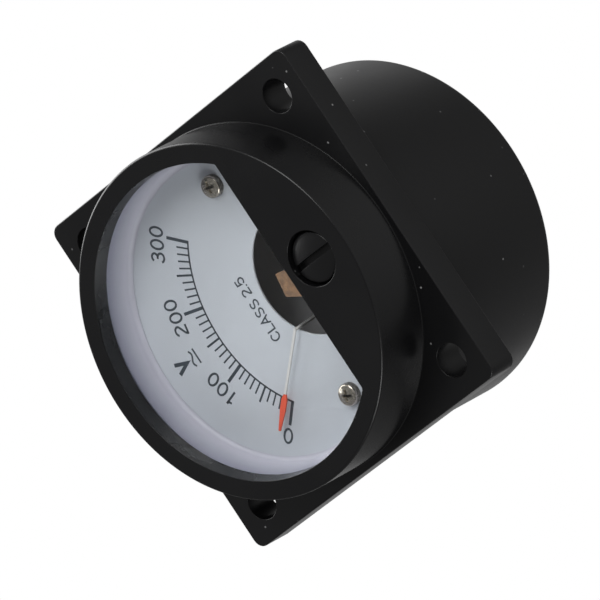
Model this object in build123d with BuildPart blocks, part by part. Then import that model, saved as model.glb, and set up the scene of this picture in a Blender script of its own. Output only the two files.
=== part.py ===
from build123d import *
from math import asin, cos, degrees, pi, radians, sin
import os

# Round-faced analog panel voltmeter, 0-300 V, with a square four-hole flange.
# Frame: the origin is on the meter's axis, in the flange's rear face, which bears on the panel.
# The dial faces -Y, the body goes back along +Y, and +Z is up. Millimetres.

# ---------------------------------------------------------------- driving dimensions
FLANGE_SIDE = 52.0
FLANGE_THICKNESS = 5.0
FLANGE_CORNER = 1.5
FLANGE_EDGE = 0.25
HOLE_PITCH = 42.0
HOLE_DIAMETER = 4.8

BODY_DIAMETER = 49.2
BODY_LENGTH = 26.0
BODY_WALL = 1.8
REAR_WALL = 2.0
REAR_EDGE = 0.9

RING_DIAMETER = 50.0
RING_HEIGHT = 9.3
RING_RIM = 0.35
SIGHT_DIAMETER = 44.4
SIGHT_DEPTH = 2.5
COVER_THICKNESS = 3.4
BEZEL_BORE = 46.4
SPIGOT_DIAMETER = 48.0
SPIGOT_LENGTH = 3.4
FIT_GAP = 0.05

CHORD_Z = -13.3
ZERO_Z = -18.35
ZERO_WELL_DIAMETER = 7.8
ZERO_WELL_DEPTH = 2.7
ZERO_HEAD_DIAMETER = 7.1
ZERO_SHANK_DIAMETER = 3.9
ZERO_SLOT_WIDTH = 0.95
ZERO_SLOT_DEPTH = 1.1
ZERO_ECCENTRICITY = 1.2
ZERO_PIN_DIAMETER = 0.9

WINDOW_THICKNESS = 1.2
WINDOW_FOOT_Z = -14.0
DIAL_DEPTH = 7.8
DIAL_THICKNESS = 0.6
DIAL_DIAMETER = 46.0
DIAL_FOOT_Z = -14.8
SURROUND_MOUTH = 45.2
SURROUND_WAIST = 43.5
SURROUND_BORE = 42.2
SURROUND_LEDGE = 0.8
SURROUND_LIP = 0.15
NOTCH_RADIUS = 9.1
DIAL_SCREW_X = 16.65
DIAL_SCREW_Z = -4.9

PIVOT_Z = -10.5
REST_ANGLE = -38.2
TRAVEL_ANGLE = 43.5
POINTER_REACH = 24.2
POINTER_TIP_LENGTH = 5.6
POINTER_LIFT = 0.8
POINTER_THICKNESS = 0.25

CORE_RADIUS = 5.0
YOKE_BORE_RADIUS = 7.4
YOKE_RADIUS = 10.5
YOKE_FRONT = 2.5
YOKE_LENGTH = 9.0
COIL_WIDTH = 2.8
COIL_HALF_BORE = 5.45
COIL_END_GAP = 1.3
FORMER_WALL = 0.35
WINDING_WALL = 0.9
WINDING_WIDTH = 2.2

BRIDGE_WIDTH = 5.0
BRIDGE_SHEET = 0.8
BRIDGE_FRONT = -4.8
BRIDGE_HALF_SPAN = 10.6
BRIDGE_FOOT_X = 3.0

TERMINAL_X = 10.0
TERMINAL_Z = 7.0
STUD_DIAMETER = 4.0
STUD_PITCH_RADIUS = 1.77
TERMINAL_CLEARANCE_RADIUS = 2.1
STUD_END = 39.0
NUT_WIDTH = 7.0

# ---------------------------------------------------------------- places worked out from them
FLANGE_FRONT = -FLANGE_THICKNESS
RING_FRONT = FLANGE_FRONT - RING_HEIGHT
WINDOW_FRONT = RING_FRONT + SIGHT_DEPTH
COVER_REAR = RING_FRONT + COVER_THICKNESS
WINDOW_REAR = WINDOW_FRONT + WINDOW_THICKNESS
DIAL_FRONT = RING_FRONT + DIAL_DEPTH
DIAL_REAR = DIAL_FRONT + DIAL_THICKNESS
CAVITY_REAR = BODY_LENGTH - REAR_WALL
BODY_BORE_RADIUS = BODY_DIAMETER / 2 - BODY_WALL
YOKE_REAR = YOKE_FRONT + YOKE_LENGTH
MOVEMENT_MIDDLE = Plane.XZ.offset(-(YOKE_FRONT + YOKE_REAR) / 2)
PIVOT_AXIS = Axis((0, 0, PIVOT_Z), (0, 1, 0))
ZERO_AXIS = Axis((0, 0, ZERO_Z), (0, 1, 0))

BASE_FRONT = 5.5
BASE_REAR = 8.5
BASE_RADIUS = 22.0
BASE_SCREW_PLACES = [(0, 19.8), (-15.8, -12.0), (15.8, -12.0)]
BOSS_RADIUS = 3.2
PILOT_RADIUS = 0.8
PILOT_REAR = CAVITY_REAR - 4.0
LEAD_X = 12.5
LEAD_Z = 3.0

BOARD_FRONT = 19.4
BOARD_REAR = 21.0
PAD_HEIGHT = 0.8
PAD_RADIUS = 5.2
PAD_REAR = BODY_LENGTH + PAD_HEIGHT
TERMINAL_PLACES = [(-TERMINAL_X, TERMINAL_Z), (TERMINAL_X, TERMINAL_Z)]


def facing(y):
    """Sketch plane at depth y: sketch x is X, sketch y is Z, and its normal is -Y, to the front."""
    return Plane.XZ.offset(-y)


def section_plane(axis_z):
    """Sketch plane through an axis along Y at height axis_z: sketch x is radius, sketch y is Y."""
    return Plane.XY.offset(axis_z)


def polar(radius, angle):
    """Place at a radius from the pivot, at an angle from straight up, clockwise from the front."""
    turn = radians(angle)
    return (radius * sin(turn), PIVOT_Z + radius * cos(turn))


def band(inner, outer, front, rear):
    """Rectangle of a section sketch, from radius inner to outer and from depth front to rear."""
    with Locations(((inner + outer) / 2, (front + rear) / 2)):
        Rectangle(outer - inner, rear - front)


def save(part, name):
    """Labels a finished piece and writes it as one STEP file."""
    part.label = name
    export_step(part, f"parts/{name}.step")


def mirrored_pair(part):
    """A movement piece at the front together with its twin at the rear."""
    return Compound(children=[*part.solids(), *mirror(part, about=MOVEMENT_MIDDLE).solids()])


os.makedirs("parts", exist_ok=True)

# ---------------------------------------------------------------- case
with BuildPart() as rear_housing:
    with BuildSketch(facing(0)):
        RectangleRounded(FLANGE_SIDE, FLANGE_SIDE, FLANGE_CORNER)
    extrude(amount=FLANGE_THICKNESS)
    fillet(rear_housing.faces().filter_by(Axis.Y).edges(), FLANGE_EDGE)
    with BuildSketch(facing(BODY_LENGTH)):
        Circle(BODY_DIAMETER / 2)
    extrude(amount=BODY_LENGTH)
    fillet(rear_housing.faces().sort_by(Axis.Y)[-1].edges(), REAR_EDGE)
    with BuildSketch(facing(CAVITY_REAR)):
        Circle(BODY_BORE_RADIUS)
    extrude(amount=CAVITY_REAR + FLANGE_THICKNESS, mode=Mode.SUBTRACT)
    with BuildSketch(facing(FLANGE_FRONT + SPIGOT_LENGTH + FIT_GAP)):
        Circle(SPIGOT_DIAMETER / 2 + FIT_GAP)
    extrude(amount=SPIGOT_LENGTH + FIT_GAP, mode=Mode.SUBTRACT)
    with BuildSketch(facing(0)):
        with GridLocations(HOLE_PITCH, HOLE_PITCH, 2, 2):
            Circle(HOLE_DIAMETER / 2)
    extrude(amount=FLANGE_THICKNESS, mode=Mode.SUBTRACT)
    with BuildSketch(facing(CAVITY_REAR)):
        with Locations(*BASE_SCREW_PLACES):
            Circle(BOSS_RADIUS)
    extrude(amount=CAVITY_REAR - BASE_REAR)
    with BuildSketch(facing(PILOT_REAR)):
        with Locations(*BASE_SCREW_PLACES):
            Circle(PILOT_RADIUS)
    extrude(amount=PILOT_REAR - BASE_REAR, mode=Mode.SUBTRACT)
    with BuildSketch(facing(PAD_REAR)):
        with Locations(*TERMINAL_PLACES):
            Circle(PAD_RADIUS)
    extrude(amount=PAD_HEIGHT)
    with BuildSketch(facing(PAD_REAR)):
        with Locations(*TERMINAL_PLACES):
            Circle(TERMINAL_CLEARANCE_RADIUS)
    extrude(amount=PAD_HEIGHT + REAR_WALL, mode=Mode.SUBTRACT)
save(rear_housing.part, "rear_housing")

# The half-moon cover is thicker than the sight is deep: its rear layer starts below the window.
COVER_LAYERS = [
    (WINDOW_FRONT, CHORD_Z, SIGHT_DEPTH),
    (COVER_REAR, WINDOW_FOOT_Z - FIT_GAP, COVER_REAR - WINDOW_FRONT),
]

with BuildPart() as front_bezel:
    with BuildSketch(section_plane(0)):
        band(SIGHT_DIAMETER / 2, RING_DIAMETER / 2, RING_FRONT, FLANGE_FRONT)
        band(BEZEL_BORE / 2, SPIGOT_DIAMETER / 2, FLANGE_FRONT, FLANGE_FRONT + SPIGOT_LENGTH)
        with Locations(((SIGHT_DIAMETER + BEZEL_BORE) / 4, (WINDOW_FRONT + FLANGE_FRONT) / 2)):
            Rectangle((BEZEL_BORE - SIGHT_DIAMETER) / 2, FLANGE_FRONT - WINDOW_FRONT, mode=Mode.SUBTRACT)
    revolve(axis=Axis.Y)
    for rear, top, thickness in COVER_LAYERS:
        with BuildSketch(facing(rear)):
            Circle((SIGHT_DIAMETER + BEZEL_BORE) / 4)
            with Locations((0, top + SIGHT_DIAMETER / 2)):
                Rectangle(BEZEL_BORE, SIGHT_DIAMETER, mode=Mode.SUBTRACT)
        extrude(amount=thickness)
    with BuildSketch(facing(RING_FRONT + ZERO_WELL_DEPTH)):
        with Locations((0, ZERO_Z)):
            Circle(ZERO_WELL_DIAMETER / 2)
    extrude(amount=ZERO_WELL_DEPTH, mode=Mode.SUBTRACT)
    with BuildSketch(facing(COVER_REAR)):
        with Locations((0, ZERO_Z)):
            Circle(ZERO_SHANK_DIAMETER / 2 + FIT_GAP)
    extrude(amount=COVER_THICKNESS, mode=Mode.SUBTRACT)
    rim = front_bezel.edges().filter_by(GeomType.CIRCLE).filter_by(
        lambda edge: abs(edge.radius - RING_DIAMETER / 2) < 0.01 and edge.center().Y < RING_FRONT + 0.01
    )
    fillet(rim, RING_RIM)
save(front_bezel.part, "front_bezel")

with BuildPart() as window:
    with BuildSketch(facing(WINDOW_REAR)):
        Circle(BEZEL_BORE / 2 - FIT_GAP)
        with Locations((0, WINDOW_FOOT_Z - BEZEL_BORE / 2)):
            Rectangle(BEZEL_BORE, BEZEL_BORE, mode=Mode.SUBTRACT)
    extrude(amount=WINDOW_THICKNESS)
save(window.part, "window")

with BuildPart() as dial_surround:
    with BuildSketch(section_plane(0)):
        with BuildLine():
            Polyline(
                (SURROUND_MOUTH / 2, WINDOW_REAR),
                (BEZEL_BORE / 2 - FIT_GAP, WINDOW_REAR),
                (BEZEL_BORE / 2 - FIT_GAP, DIAL_FRONT),
                (SURROUND_BORE / 2, DIAL_FRONT),
                (SURROUND_BORE / 2, DIAL_FRONT - SURROUND_LIP),
                (SURROUND_WAIST / 2, DIAL_FRONT - SURROUND_LEDGE),
                close=True,
            )
        make_face()
    revolve(axis=Axis.Y)
save(dial_surround.part, "dial_surround")

# ---------------------------------------------------------------- dial
DIAL_SCREW_PLACES = [(-DIAL_SCREW_X, DIAL_SCREW_Z), (DIAL_SCREW_X, DIAL_SCREW_Z)]
DIAL_SCREW_HEAD_RADIUS = 1.6
DIAL_SCREW_HEAD_HEIGHT = 1.0
DIAL_SCREW_SHANK_RADIUS = 0.95
DIAL_SCREW_LENGTH = 5.0
DIAL_SCREW_CROWN = 0.45
CROSS_SLOT_LENGTH = 1.9
CROSS_SLOT_WIDTH = 0.42
CROSS_SLOT_DEPTH = 0.6

with BuildPart() as dial_plate:
    with BuildSketch(facing(DIAL_REAR)):
        Circle(DIAL_DIAMETER / 2)
        with Locations((0, DIAL_FOOT_Z - DIAL_DIAMETER / 2)):
            Rectangle(DIAL_DIAMETER, DIAL_DIAMETER, mode=Mode.SUBTRACT)
        with Locations((0, PIVOT_Z)):
            Circle(NOTCH_RADIUS, mode=Mode.SUBTRACT)
        with Locations(*DIAL_SCREW_PLACES):
            Circle(DIAL_SCREW_SHANK_RADIUS + FIT_GAP, mode=Mode.SUBTRACT)
    extrude(amount=DIAL_THICKNESS)
save(dial_plate.part, "dial_plate")

with BuildPart() as dial_screws:
    with BuildSketch(facing(DIAL_FRONT)):
        with Locations(*DIAL_SCREW_PLACES):
            Circle(DIAL_SCREW_HEAD_RADIUS)
    extrude(amount=DIAL_SCREW_HEAD_HEIGHT)
    fillet(dial_screws.faces().filter_by(Axis.Y).group_by(Axis.Y)[0].edges(), DIAL_SCREW_CROWN)
    with BuildSketch(facing(DIAL_FRONT - DIAL_SCREW_HEAD_HEIGHT + CROSS_SLOT_DEPTH)):
        with Locations(*DIAL_SCREW_PLACES):
            Rectangle(CROSS_SLOT_LENGTH, CROSS_SLOT_WIDTH)
            Rectangle(CROSS_SLOT_WIDTH, CROSS_SLOT_LENGTH)
    extrude(amount=DIAL_SCREW_HEAD_HEIGHT, mode=Mode.SUBTRACT)
    with BuildSketch(facing(DIAL_FRONT + DIAL_SCREW_LENGTH)):
        with Locations(*DIAL_SCREW_PLACES):
            Circle(DIAL_SCREW_SHANK_RADIUS)
    extrude(amount=DIAL_SCREW_LENGTH)
save(dial_screws.part, "dial_screws")

PILLAR_RADIUS = 2.2
PILLAR_SPIGOT_RADIUS = 1.2

with BuildPart() as dial_pillars:
    with BuildSketch(facing(BASE_FRONT)):
        with Locations(*DIAL_SCREW_PLACES):
            Circle(PILLAR_RADIUS)
    extrude(amount=BASE_FRONT - DIAL_REAR)
    with BuildSketch(facing(DIAL_REAR + DIAL_SCREW_LENGTH)):
        with Locations(*DIAL_SCREW_PLACES):
            Circle(DIAL_SCREW_SHANK_RADIUS + FIT_GAP)
    extrude(amount=DIAL_SCREW_LENGTH, mode=Mode.SUBTRACT)
    with BuildSketch(facing(BASE_REAR)):
        with Locations(*DIAL_SCREW_PLACES):
            Circle(PILLAR_SPIGOT_RADIUS)
    extrude(amount=BASE_REAR - BASE_FRONT)
save(dial_pillars.part, "dial_pillars")

# ---------------------------------------------------------------- movement's fixed parts
BASE_SCREW_RADIUS = 0.75
BASE_SCREW_HEAD_RADIUS = 1.9
BASE_SCREW_HEAD_HEIGHT = 1.3
BASE_SCREW_LENGTH = 8.0
BASE_SCREW_HOLE_RADIUS = 1.1
BASE_SLOT_LENGTH = 2.2
BASE_SLOT_WIDTH = 0.5
BASE_SLOT_DEPTH = 0.7
LEAD_HOLE_RADIUS = 1.0

with BuildPart() as movement_base:
    with BuildSketch(facing(BASE_REAR)):
        Circle(BASE_RADIUS)
        with Locations((0, PIVOT_Z)):
            Circle(YOKE_RADIUS + FIT_GAP, mode=Mode.SUBTRACT)
        with Locations(*BASE_SCREW_PLACES):
            Circle(BASE_SCREW_HOLE_RADIUS, mode=Mode.SUBTRACT)
        with Locations(*DIAL_SCREW_PLACES):
            Circle(PILLAR_SPIGOT_RADIUS + FIT_GAP, mode=Mode.SUBTRACT)
        with Locations((-LEAD_X, LEAD_Z)):
            Circle(LEAD_HOLE_RADIUS, mode=Mode.SUBTRACT)
    extrude(amount=BASE_REAR - BASE_FRONT)
save(movement_base.part, "movement_base")

with BuildPart() as base_screws:
    with BuildSketch(facing(BASE_FRONT)):
        with Locations(*BASE_SCREW_PLACES):
            Circle(BASE_SCREW_HEAD_RADIUS)
    extrude(amount=BASE_SCREW_HEAD_HEIGHT)
    with BuildSketch(facing(BASE_FRONT - BASE_SCREW_HEAD_HEIGHT + BASE_SLOT_DEPTH)):
        with Locations(*BASE_SCREW_PLACES):
            Rectangle(BASE_SLOT_LENGTH, BASE_SLOT_WIDTH)
            Rectangle(BASE_SLOT_WIDTH, BASE_SLOT_LENGTH)
    extrude(amount=BASE_SCREW_HEAD_HEIGHT, mode=Mode.SUBTRACT)
    with BuildSketch(facing(BASE_FRONT + BASE_SCREW_LENGTH)):
        with Locations(*BASE_SCREW_PLACES):
            Circle(BASE_SCREW_RADIUS)
    extrude(amount=BASE_SCREW_LENGTH)
save(base_screws.part, "base_screws")

with BuildPart() as yoke_ring:
    with BuildSketch(facing(YOKE_REAR)):
        with Locations((0, PIVOT_Z)):
            Circle(YOKE_RADIUS)
            Circle(YOKE_BORE_RADIUS, mode=Mode.SUBTRACT)
    extrude(amount=YOKE_LENGTH)
save(yoke_ring.part, "yoke_ring")

with BuildPart() as core_magnet:
    with BuildSketch(facing(YOKE_REAR)):
        with Locations((0, PIVOT_Z)):
            Circle(CORE_RADIUS)
    extrude(amount=YOKE_LENGTH)
save(core_magnet.part, "core_magnet")

STRAP_REAR = BRIDGE_FRONT + BRIDGE_SHEET
FOOT_FRONT = YOKE_FRONT - BRIDGE_SHEET
LEG_X = BRIDGE_HALF_SPAN - BRIDGE_SHEET
BRIDGE_SCREW_X = 8.5
BRIDGE_SCREW_RADIUS = 0.6
BRIDGE_SCREW_HEAD_RADIUS = 1.15
BRIDGE_SCREW_HEAD_HEIGHT = 0.8
SMALL_SLOT_LENGTH = 2.4
SMALL_SLOT_WIDTH = 0.35
LEVER_BOSS_HEIGHT = 0.6
BOSS_FRONT = BRIDGE_FRONT - LEVER_BOSS_HEIGHT
LEVER_BOSS_RADIUS = 1.9
JEWEL_SCREW_RADIUS = 1.0
JEWEL_SCREW_FRONT = -6.4
JEWEL_SCREW_REAR = -3.9
JEWEL_RADIUS = 0.6
JEWEL_FRONT = -4.9
JEWEL_REAR = -4.3
JEWEL_SLOT_DEPTH = 0.5
JEWEL_CUP_DEPTH = 0.4
LOCKNUT_RADIUS = 2.6
LOCKNUT_THICKNESS = 0.6

with BuildPart() as front_bridge:
    with BuildSketch(section_plane(PIVOT_Z - BRIDGE_WIDTH / 2)):
        with BuildLine():
            half = [
                (0, BRIDGE_FRONT),
                (BRIDGE_HALF_SPAN, BRIDGE_FRONT),
                (BRIDGE_HALF_SPAN, YOKE_FRONT),
                (BRIDGE_FOOT_X, YOKE_FRONT),
                (BRIDGE_FOOT_X, FOOT_FRONT),
                (LEG_X, FOOT_FRONT),
                (LEG_X, STRAP_REAR),
                (0, STRAP_REAR),
            ]
            Polyline(*half, close=True)
        make_face()
        mirror(about=Plane.YZ)
    extrude(amount=BRIDGE_WIDTH)
    with BuildSketch(facing(BRIDGE_FRONT)):
        with Locations((0, PIVOT_Z)):
            Circle(LEVER_BOSS_RADIUS)
    extrude(amount=BRIDGE_FRONT - BOSS_FRONT)
    with BuildSketch(facing(STRAP_REAR)):
        with Locations((0, PIVOT_Z)):
            Circle(JEWEL_SCREW_RADIUS)
    extrude(amount=STRAP_REAR - BOSS_FRONT, mode=Mode.SUBTRACT)
    with BuildSketch(facing(YOKE_FRONT)):
        with Locations((-BRIDGE_SCREW_X, PIVOT_Z), (BRIDGE_SCREW_X, PIVOT_Z)):
            Circle(BRIDGE_SCREW_RADIUS)
    extrude(amount=BRIDGE_SHEET, mode=Mode.SUBTRACT)
save(front_bridge.part, "front_bridge")
save(mirror(front_bridge.part, about=MOVEMENT_MIDDLE), "rear_bridge")

with BuildPart() as bridge_screw_pair:
    with BuildSketch(facing(FOOT_FRONT)):
        with Locations((-BRIDGE_SCREW_X, PIVOT_Z), (BRIDGE_SCREW_X, PIVOT_Z)):
            Circle(BRIDGE_SCREW_HEAD_RADIUS)
            Rectangle(SMALL_SLOT_LENGTH, SMALL_SLOT_WIDTH, mode=Mode.SUBTRACT)
    extrude(amount=BRIDGE_SCREW_HEAD_HEIGHT)
    with BuildSketch(facing(YOKE_FRONT)):
        with Locations((-BRIDGE_SCREW_X, PIVOT_Z), (BRIDGE_SCREW_X, PIVOT_Z)):
            Circle(BRIDGE_SCREW_RADIUS)
    extrude(amount=BRIDGE_SHEET + BRIDGE_SCREW_HEAD_HEIGHT / 2)
save(mirrored_pair(bridge_screw_pair.part), "bridge_screws")

with BuildPart() as jewel_screw:
    with BuildSketch(facing(JEWEL_SCREW_REAR)):
        with Locations((0, PIVOT_Z)):
            Circle(JEWEL_SCREW_RADIUS)
    extrude(amount=JEWEL_SCREW_REAR - JEWEL_SCREW_FRONT)
    with BuildSketch(facing(JEWEL_SCREW_FRONT + JEWEL_SLOT_DEPTH)):
        with Locations((0, PIVOT_Z)):
            Rectangle(SMALL_SLOT_LENGTH, SMALL_SLOT_WIDTH)
    extrude(amount=JEWEL_SLOT_DEPTH, mode=Mode.SUBTRACT)
    with BuildSketch(facing(JEWEL_SCREW_REAR)):
        with Locations((0, PIVOT_Z)):
            Circle(JEWEL_RADIUS)
    extrude(amount=JEWEL_SCREW_REAR - JEWEL_FRONT, mode=Mode.SUBTRACT)
save(mirrored_pair(jewel_screw.part), "jewel_screws")

PIVOT_RADIUS = 0.25
PIVOT_TIP = JEWEL_REAR - 0.3
PIVOT_TAPER = 0.35
PIVOT_TIP_RADIUS = 0.08

with BuildPart() as jewel:
    with BuildSketch(facing(JEWEL_REAR)):
        with Locations((0, PIVOT_Z)):
            Circle(JEWEL_RADIUS)
    extrude(amount=JEWEL_REAR - JEWEL_FRONT)
    with BuildSketch(facing(JEWEL_REAR)):
        with Locations((0, PIVOT_Z)):
            Circle(PIVOT_RADIUS + FIT_GAP)
    extrude(amount=JEWEL_CUP_DEPTH, mode=Mode.SUBTRACT)
save(mirrored_pair(jewel.part), "jewel_bearings")

with BuildPart() as jewel_locknut:
    with BuildSketch(facing(BOSS_FRONT)):
        with Locations((0, PIVOT_Z)):
            RegularPolygon(LOCKNUT_RADIUS, 6)
            Circle(JEWEL_SCREW_RADIUS, mode=Mode.SUBTRACT)
    extrude(amount=LOCKNUT_THICKNESS)
save(mirrored_pair(jewel_locknut.part), "jewel_locknuts")

STOP_RADIUS = 0.4
STOP_PLACE_RADIUS = 7.9
STOP_FRONT = -3.3
ARM_WIDTH = 0.5
STOP_GAP = 0.12
STOP_ANGLE = TRAVEL_ANGLE + degrees(asin((STOP_RADIUS + ARM_WIDTH / 2 + STOP_GAP) / STOP_PLACE_RADIUS))

with BuildPart() as pointer_stops:
    with BuildSketch(facing(YOKE_FRONT)):
        with Locations(polar(STOP_PLACE_RADIUS, -STOP_ANGLE), polar(STOP_PLACE_RADIUS, STOP_ANGLE)):
            Circle(STOP_RADIUS)
    extrude(amount=YOKE_FRONT - STOP_FRONT)
save(pointer_stops.part, "pointer_stops")

# ---------------------------------------------------------------- moving coil and pointer
# The assembly is modelled where the pointer rests, REST_ANGLE from straight up.
REST_TURN = radians(REST_ANGLE)
ALONG_POINTER = Vector(sin(REST_TURN), 0, cos(REST_TURN))
ACROSS_POINTER = Vector(-cos(REST_TURN), 0, sin(REST_TURN))
COIL_PLANE = Plane(origin=(0, 0, PIVOT_Z), x_dir=ALONG_POINTER, z_dir=ACROSS_POINTER)
COIL_FRONT = YOKE_FRONT - COIL_END_GAP
COIL_REAR = YOKE_REAR + COIL_END_GAP
COIL_MIDDLE = (COIL_FRONT + COIL_REAR) / 2
COIL_BORE = COIL_REAR - COIL_FRONT
WINDING_CORNER = 0.7
WINDING_FRONT = COIL_FRONT - FORMER_WALL - WINDING_WALL

with BuildPart() as coil_former:
    with BuildSketch(COIL_PLANE):
        with Locations((0, COIL_MIDDLE)):
            Rectangle(2 * (COIL_HALF_BORE + FORMER_WALL), COIL_BORE + 2 * FORMER_WALL)
            Rectangle(2 * COIL_HALF_BORE, COIL_BORE, mode=Mode.SUBTRACT)
    extrude(amount=COIL_WIDTH / 2, both=True)
save(coil_former.part, "coil_former")

with BuildPart() as coil_winding:
    with BuildSketch(COIL_PLANE):
        with Locations((0, COIL_MIDDLE)):
            RectangleRounded(
                2 * (COIL_HALF_BORE + FORMER_WALL + WINDING_WALL),
                COIL_BORE + 2 * (FORMER_WALL + WINDING_WALL),
                WINDING_CORNER,
            )
            Rectangle(
                2 * (COIL_HALF_BORE + FORMER_WALL), COIL_BORE + 2 * FORMER_WALL, mode=Mode.SUBTRACT
            )
    extrude(amount=WINDING_WIDTH / 2, both=True)
save(coil_winding.part, "coil_winding")

HUB_RADIUS = 1.3
HUB_FRONT = -3.6
ARM_FRONT = -2.75
ARM_REAR = -2.45

with BuildPart() as pivot_hub:
    with BuildSketch(facing(WINDING_FRONT)):
        with Locations((0, PIVOT_Z)):
            Circle(HUB_RADIUS)
    extrude(amount=WINDING_FRONT - HUB_FRONT)
    with BuildSketch(facing(WINDING_FRONT)):
        with Locations((0, PIVOT_Z)):
            Circle(PIVOT_RADIUS)
    extrude(amount=WINDING_FRONT - HUB_FRONT, mode=Mode.SUBTRACT)
save(mirrored_pair(pivot_hub.part), "pivot_hubs")

with BuildPart() as pivot_pin:
    with BuildSketch(section_plane(PIVOT_Z)):
        with BuildLine():
            Polyline(
                (0, WINDING_FRONT),
                (PIVOT_RADIUS, WINDING_FRONT),
                (PIVOT_RADIUS, PIVOT_TIP + PIVOT_TAPER),
                (PIVOT_TIP_RADIUS, PIVOT_TIP),
                (0, PIVOT_TIP),
                close=True,
            )
        make_face()
    revolve(axis=PIVOT_AXIS)
save(mirrored_pair(pivot_pin.part), "pivot_pins")

# The pointer's arm leaves the hub behind the dial, steps forward inside the notch and goes on
# as a thin strip over the dial. Its coloured end is a separate flat lance.
STEP_START = 8.25
STEP_END = 8.8
BEND_OFFSET = 0.15
STRIP_REAR = DIAL_FRONT - POINTER_LIFT
STRIP_FRONT = STRIP_REAR - POINTER_THICKNESS
TIP_START = POINTER_REACH - POINTER_TIP_LENGTH
STRIP_WIDTH = 0.34
TIP_WIDTH = 0.85
TIP_END_WIDTH = 0.3
TIP_SHOULDER = 0.8
TIP_TAPER = 2.4
TRIM_MARGIN = 0.1
POINTER_PLANE = Plane(origin=(0, STRIP_FRONT, PIVOT_Z), x_dir=ALONG_POINTER, z_dir=(0, 1, 0))


def symmetric_outline(half):
    """Closed outline from one side's (place along, half width) points."""
    other_side = [(along, -width) for along, width in reversed(half)]
    Polyline(*half, *other_side, close=True)


with BuildPart() as pointer:
    with BuildSketch(COIL_PLANE):
        with BuildLine():
            Polyline(
                (HUB_RADIUS, ARM_REAR),
                (STEP_START + BEND_OFFSET, ARM_REAR),
                (STEP_END + BEND_OFFSET, STRIP_REAR),
                (TIP_START, STRIP_REAR),
                (TIP_START, STRIP_FRONT),
                (STEP_END - BEND_OFFSET, STRIP_FRONT),
                (STEP_START - BEND_OFFSET, ARM_FRONT),
                (HUB_RADIUS, ARM_FRONT),
                close=True,
            )
        make_face()
    extrude(amount=ARM_WIDTH / 2, both=True)
    with BuildSketch(POINTER_PLANE):
        with BuildLine():
            symmetric_outline(
                [
                    (HUB_RADIUS - TRIM_MARGIN, ARM_WIDTH / 2),
                    (STEP_START - 2 * BEND_OFFSET, ARM_WIDTH / 2),
                    (STEP_START - BEND_OFFSET, STRIP_WIDTH / 2),
                    (TIP_START + TRIM_MARGIN, STRIP_WIDTH / 2),
                ]
            )
        make_face()
    extrude(amount=ARM_REAR - STRIP_FRONT, mode=Mode.INTERSECT)
save(pointer.part, "pointer")

with BuildPart() as pointer_tip:
    with BuildSketch(POINTER_PLANE):
        with BuildLine():
            symmetric_outline(
                [
                    (TIP_START, STRIP_WIDTH / 2),
                    (TIP_START + TIP_SHOULDER, TIP_WIDTH / 2),
                    (TIP_START + TIP_TAPER, TIP_WIDTH / 2),
                    (POINTER_REACH, TIP_END_WIDTH / 2),
                ]
            )
        make_face()
    extrude(amount=POINTER_THICKNESS)
save(pointer_tip.part, "pointer_tip")

# Three arms behind the pointer carry the balance weights. The tail's weight is sized so that the
# whole assembly balances about its pivots.
CROSS_REAR = -2.15
CROSS_WIDTH = 0.5
CROSS_RIM = 0.6
TAIL_LENGTH = 6.0
SIDE_ARM_LENGTH = 5.2
WEIGHT_RADIUS = 0.75
SIDE_WEIGHT_LENGTH = 0.8
TAIL_WEIGHT_PLACE = 4.7
SIDE_WEIGHT_PLACE = 4.5
ALUMINIUM_DENSITY = 2.7e-3
PLASTIC_DENSITY = 1.1e-3
BRASS_DENSITY = 8.5e-3

with BuildPart() as balance_cross:
    with BuildSketch(Plane(origin=(0, ARM_REAR, PIVOT_Z), x_dir=ALONG_POINTER, z_dir=(0, 1, 0))):
        Circle(HUB_RADIUS + CROSS_RIM)
        with Locations((-TAIL_LENGTH / 2, 0)):
            Rectangle(TAIL_LENGTH, CROSS_WIDTH)
        Rectangle(CROSS_WIDTH, 2 * SIDE_ARM_LENGTH)
        Circle(HUB_RADIUS, mode=Mode.SUBTRACT)
    extrude(amount=CROSS_REAR - ARM_REAR)
save(balance_cross.part, "balance_cross")


def moment(part, density):
    """Mass times distance from the pivot along the pointer, in gram millimetres."""
    reach = (part.center(CenterOf.MASS) - Vector(0, 0, PIVOT_Z)).dot(ALONG_POINTER)
    return part.volume * density * reach


unbalance = (
    moment(pointer.part, ALUMINIUM_DENSITY)
    + moment(pointer_tip.part, PLASTIC_DENSITY)
    + moment(balance_cross.part, ALUMINIUM_DENSITY)
)
WEIGHT_AREA = pi * WEIGHT_RADIUS**2 - CROSS_WIDTH * (CROSS_REAR - ARM_REAR)
TAIL_WEIGHT_LENGTH = unbalance / (TAIL_WEIGHT_PLACE * WEIGHT_AREA * BRASS_DENSITY)
CROSS_MIDDLE = (ARM_REAR + CROSS_REAR) / 2
TAIL_PLANE = Plane(
    origin=Vector(0, CROSS_MIDDLE, PIVOT_Z) - ALONG_POINTER * TAIL_WEIGHT_PLACE,
    x_dir=ACROSS_POINTER,
    z_dir=ALONG_POINTER,
)
SIDE_PLANES = [
    Plane(
        origin=Vector(0, CROSS_MIDDLE, PIVOT_Z) + ACROSS_POINTER * side * SIDE_WEIGHT_PLACE,
        x_dir=ALONG_POINTER,
        z_dir=ACROSS_POINTER,
    )
    for side in (-1, 1)
]

with BuildPart() as balance_weights:
    with BuildSketch(TAIL_PLANE):
        Circle(WEIGHT_RADIUS)
        Rectangle(CROSS_WIDTH, CROSS_REAR - ARM_REAR, mode=Mode.SUBTRACT)
    extrude(amount=TAIL_WEIGHT_LENGTH / 2, both=True)
    with BuildSketch(*SIDE_PLANES):
        Circle(WEIGHT_RADIUS)
        Rectangle(CROSS_WIDTH, CROSS_REAR - ARM_REAR, mode=Mode.SUBTRACT)
    extrude(amount=SIDE_WEIGHT_LENGTH / 2, both=True)
save(balance_weights.part, "balance_weights")

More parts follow.
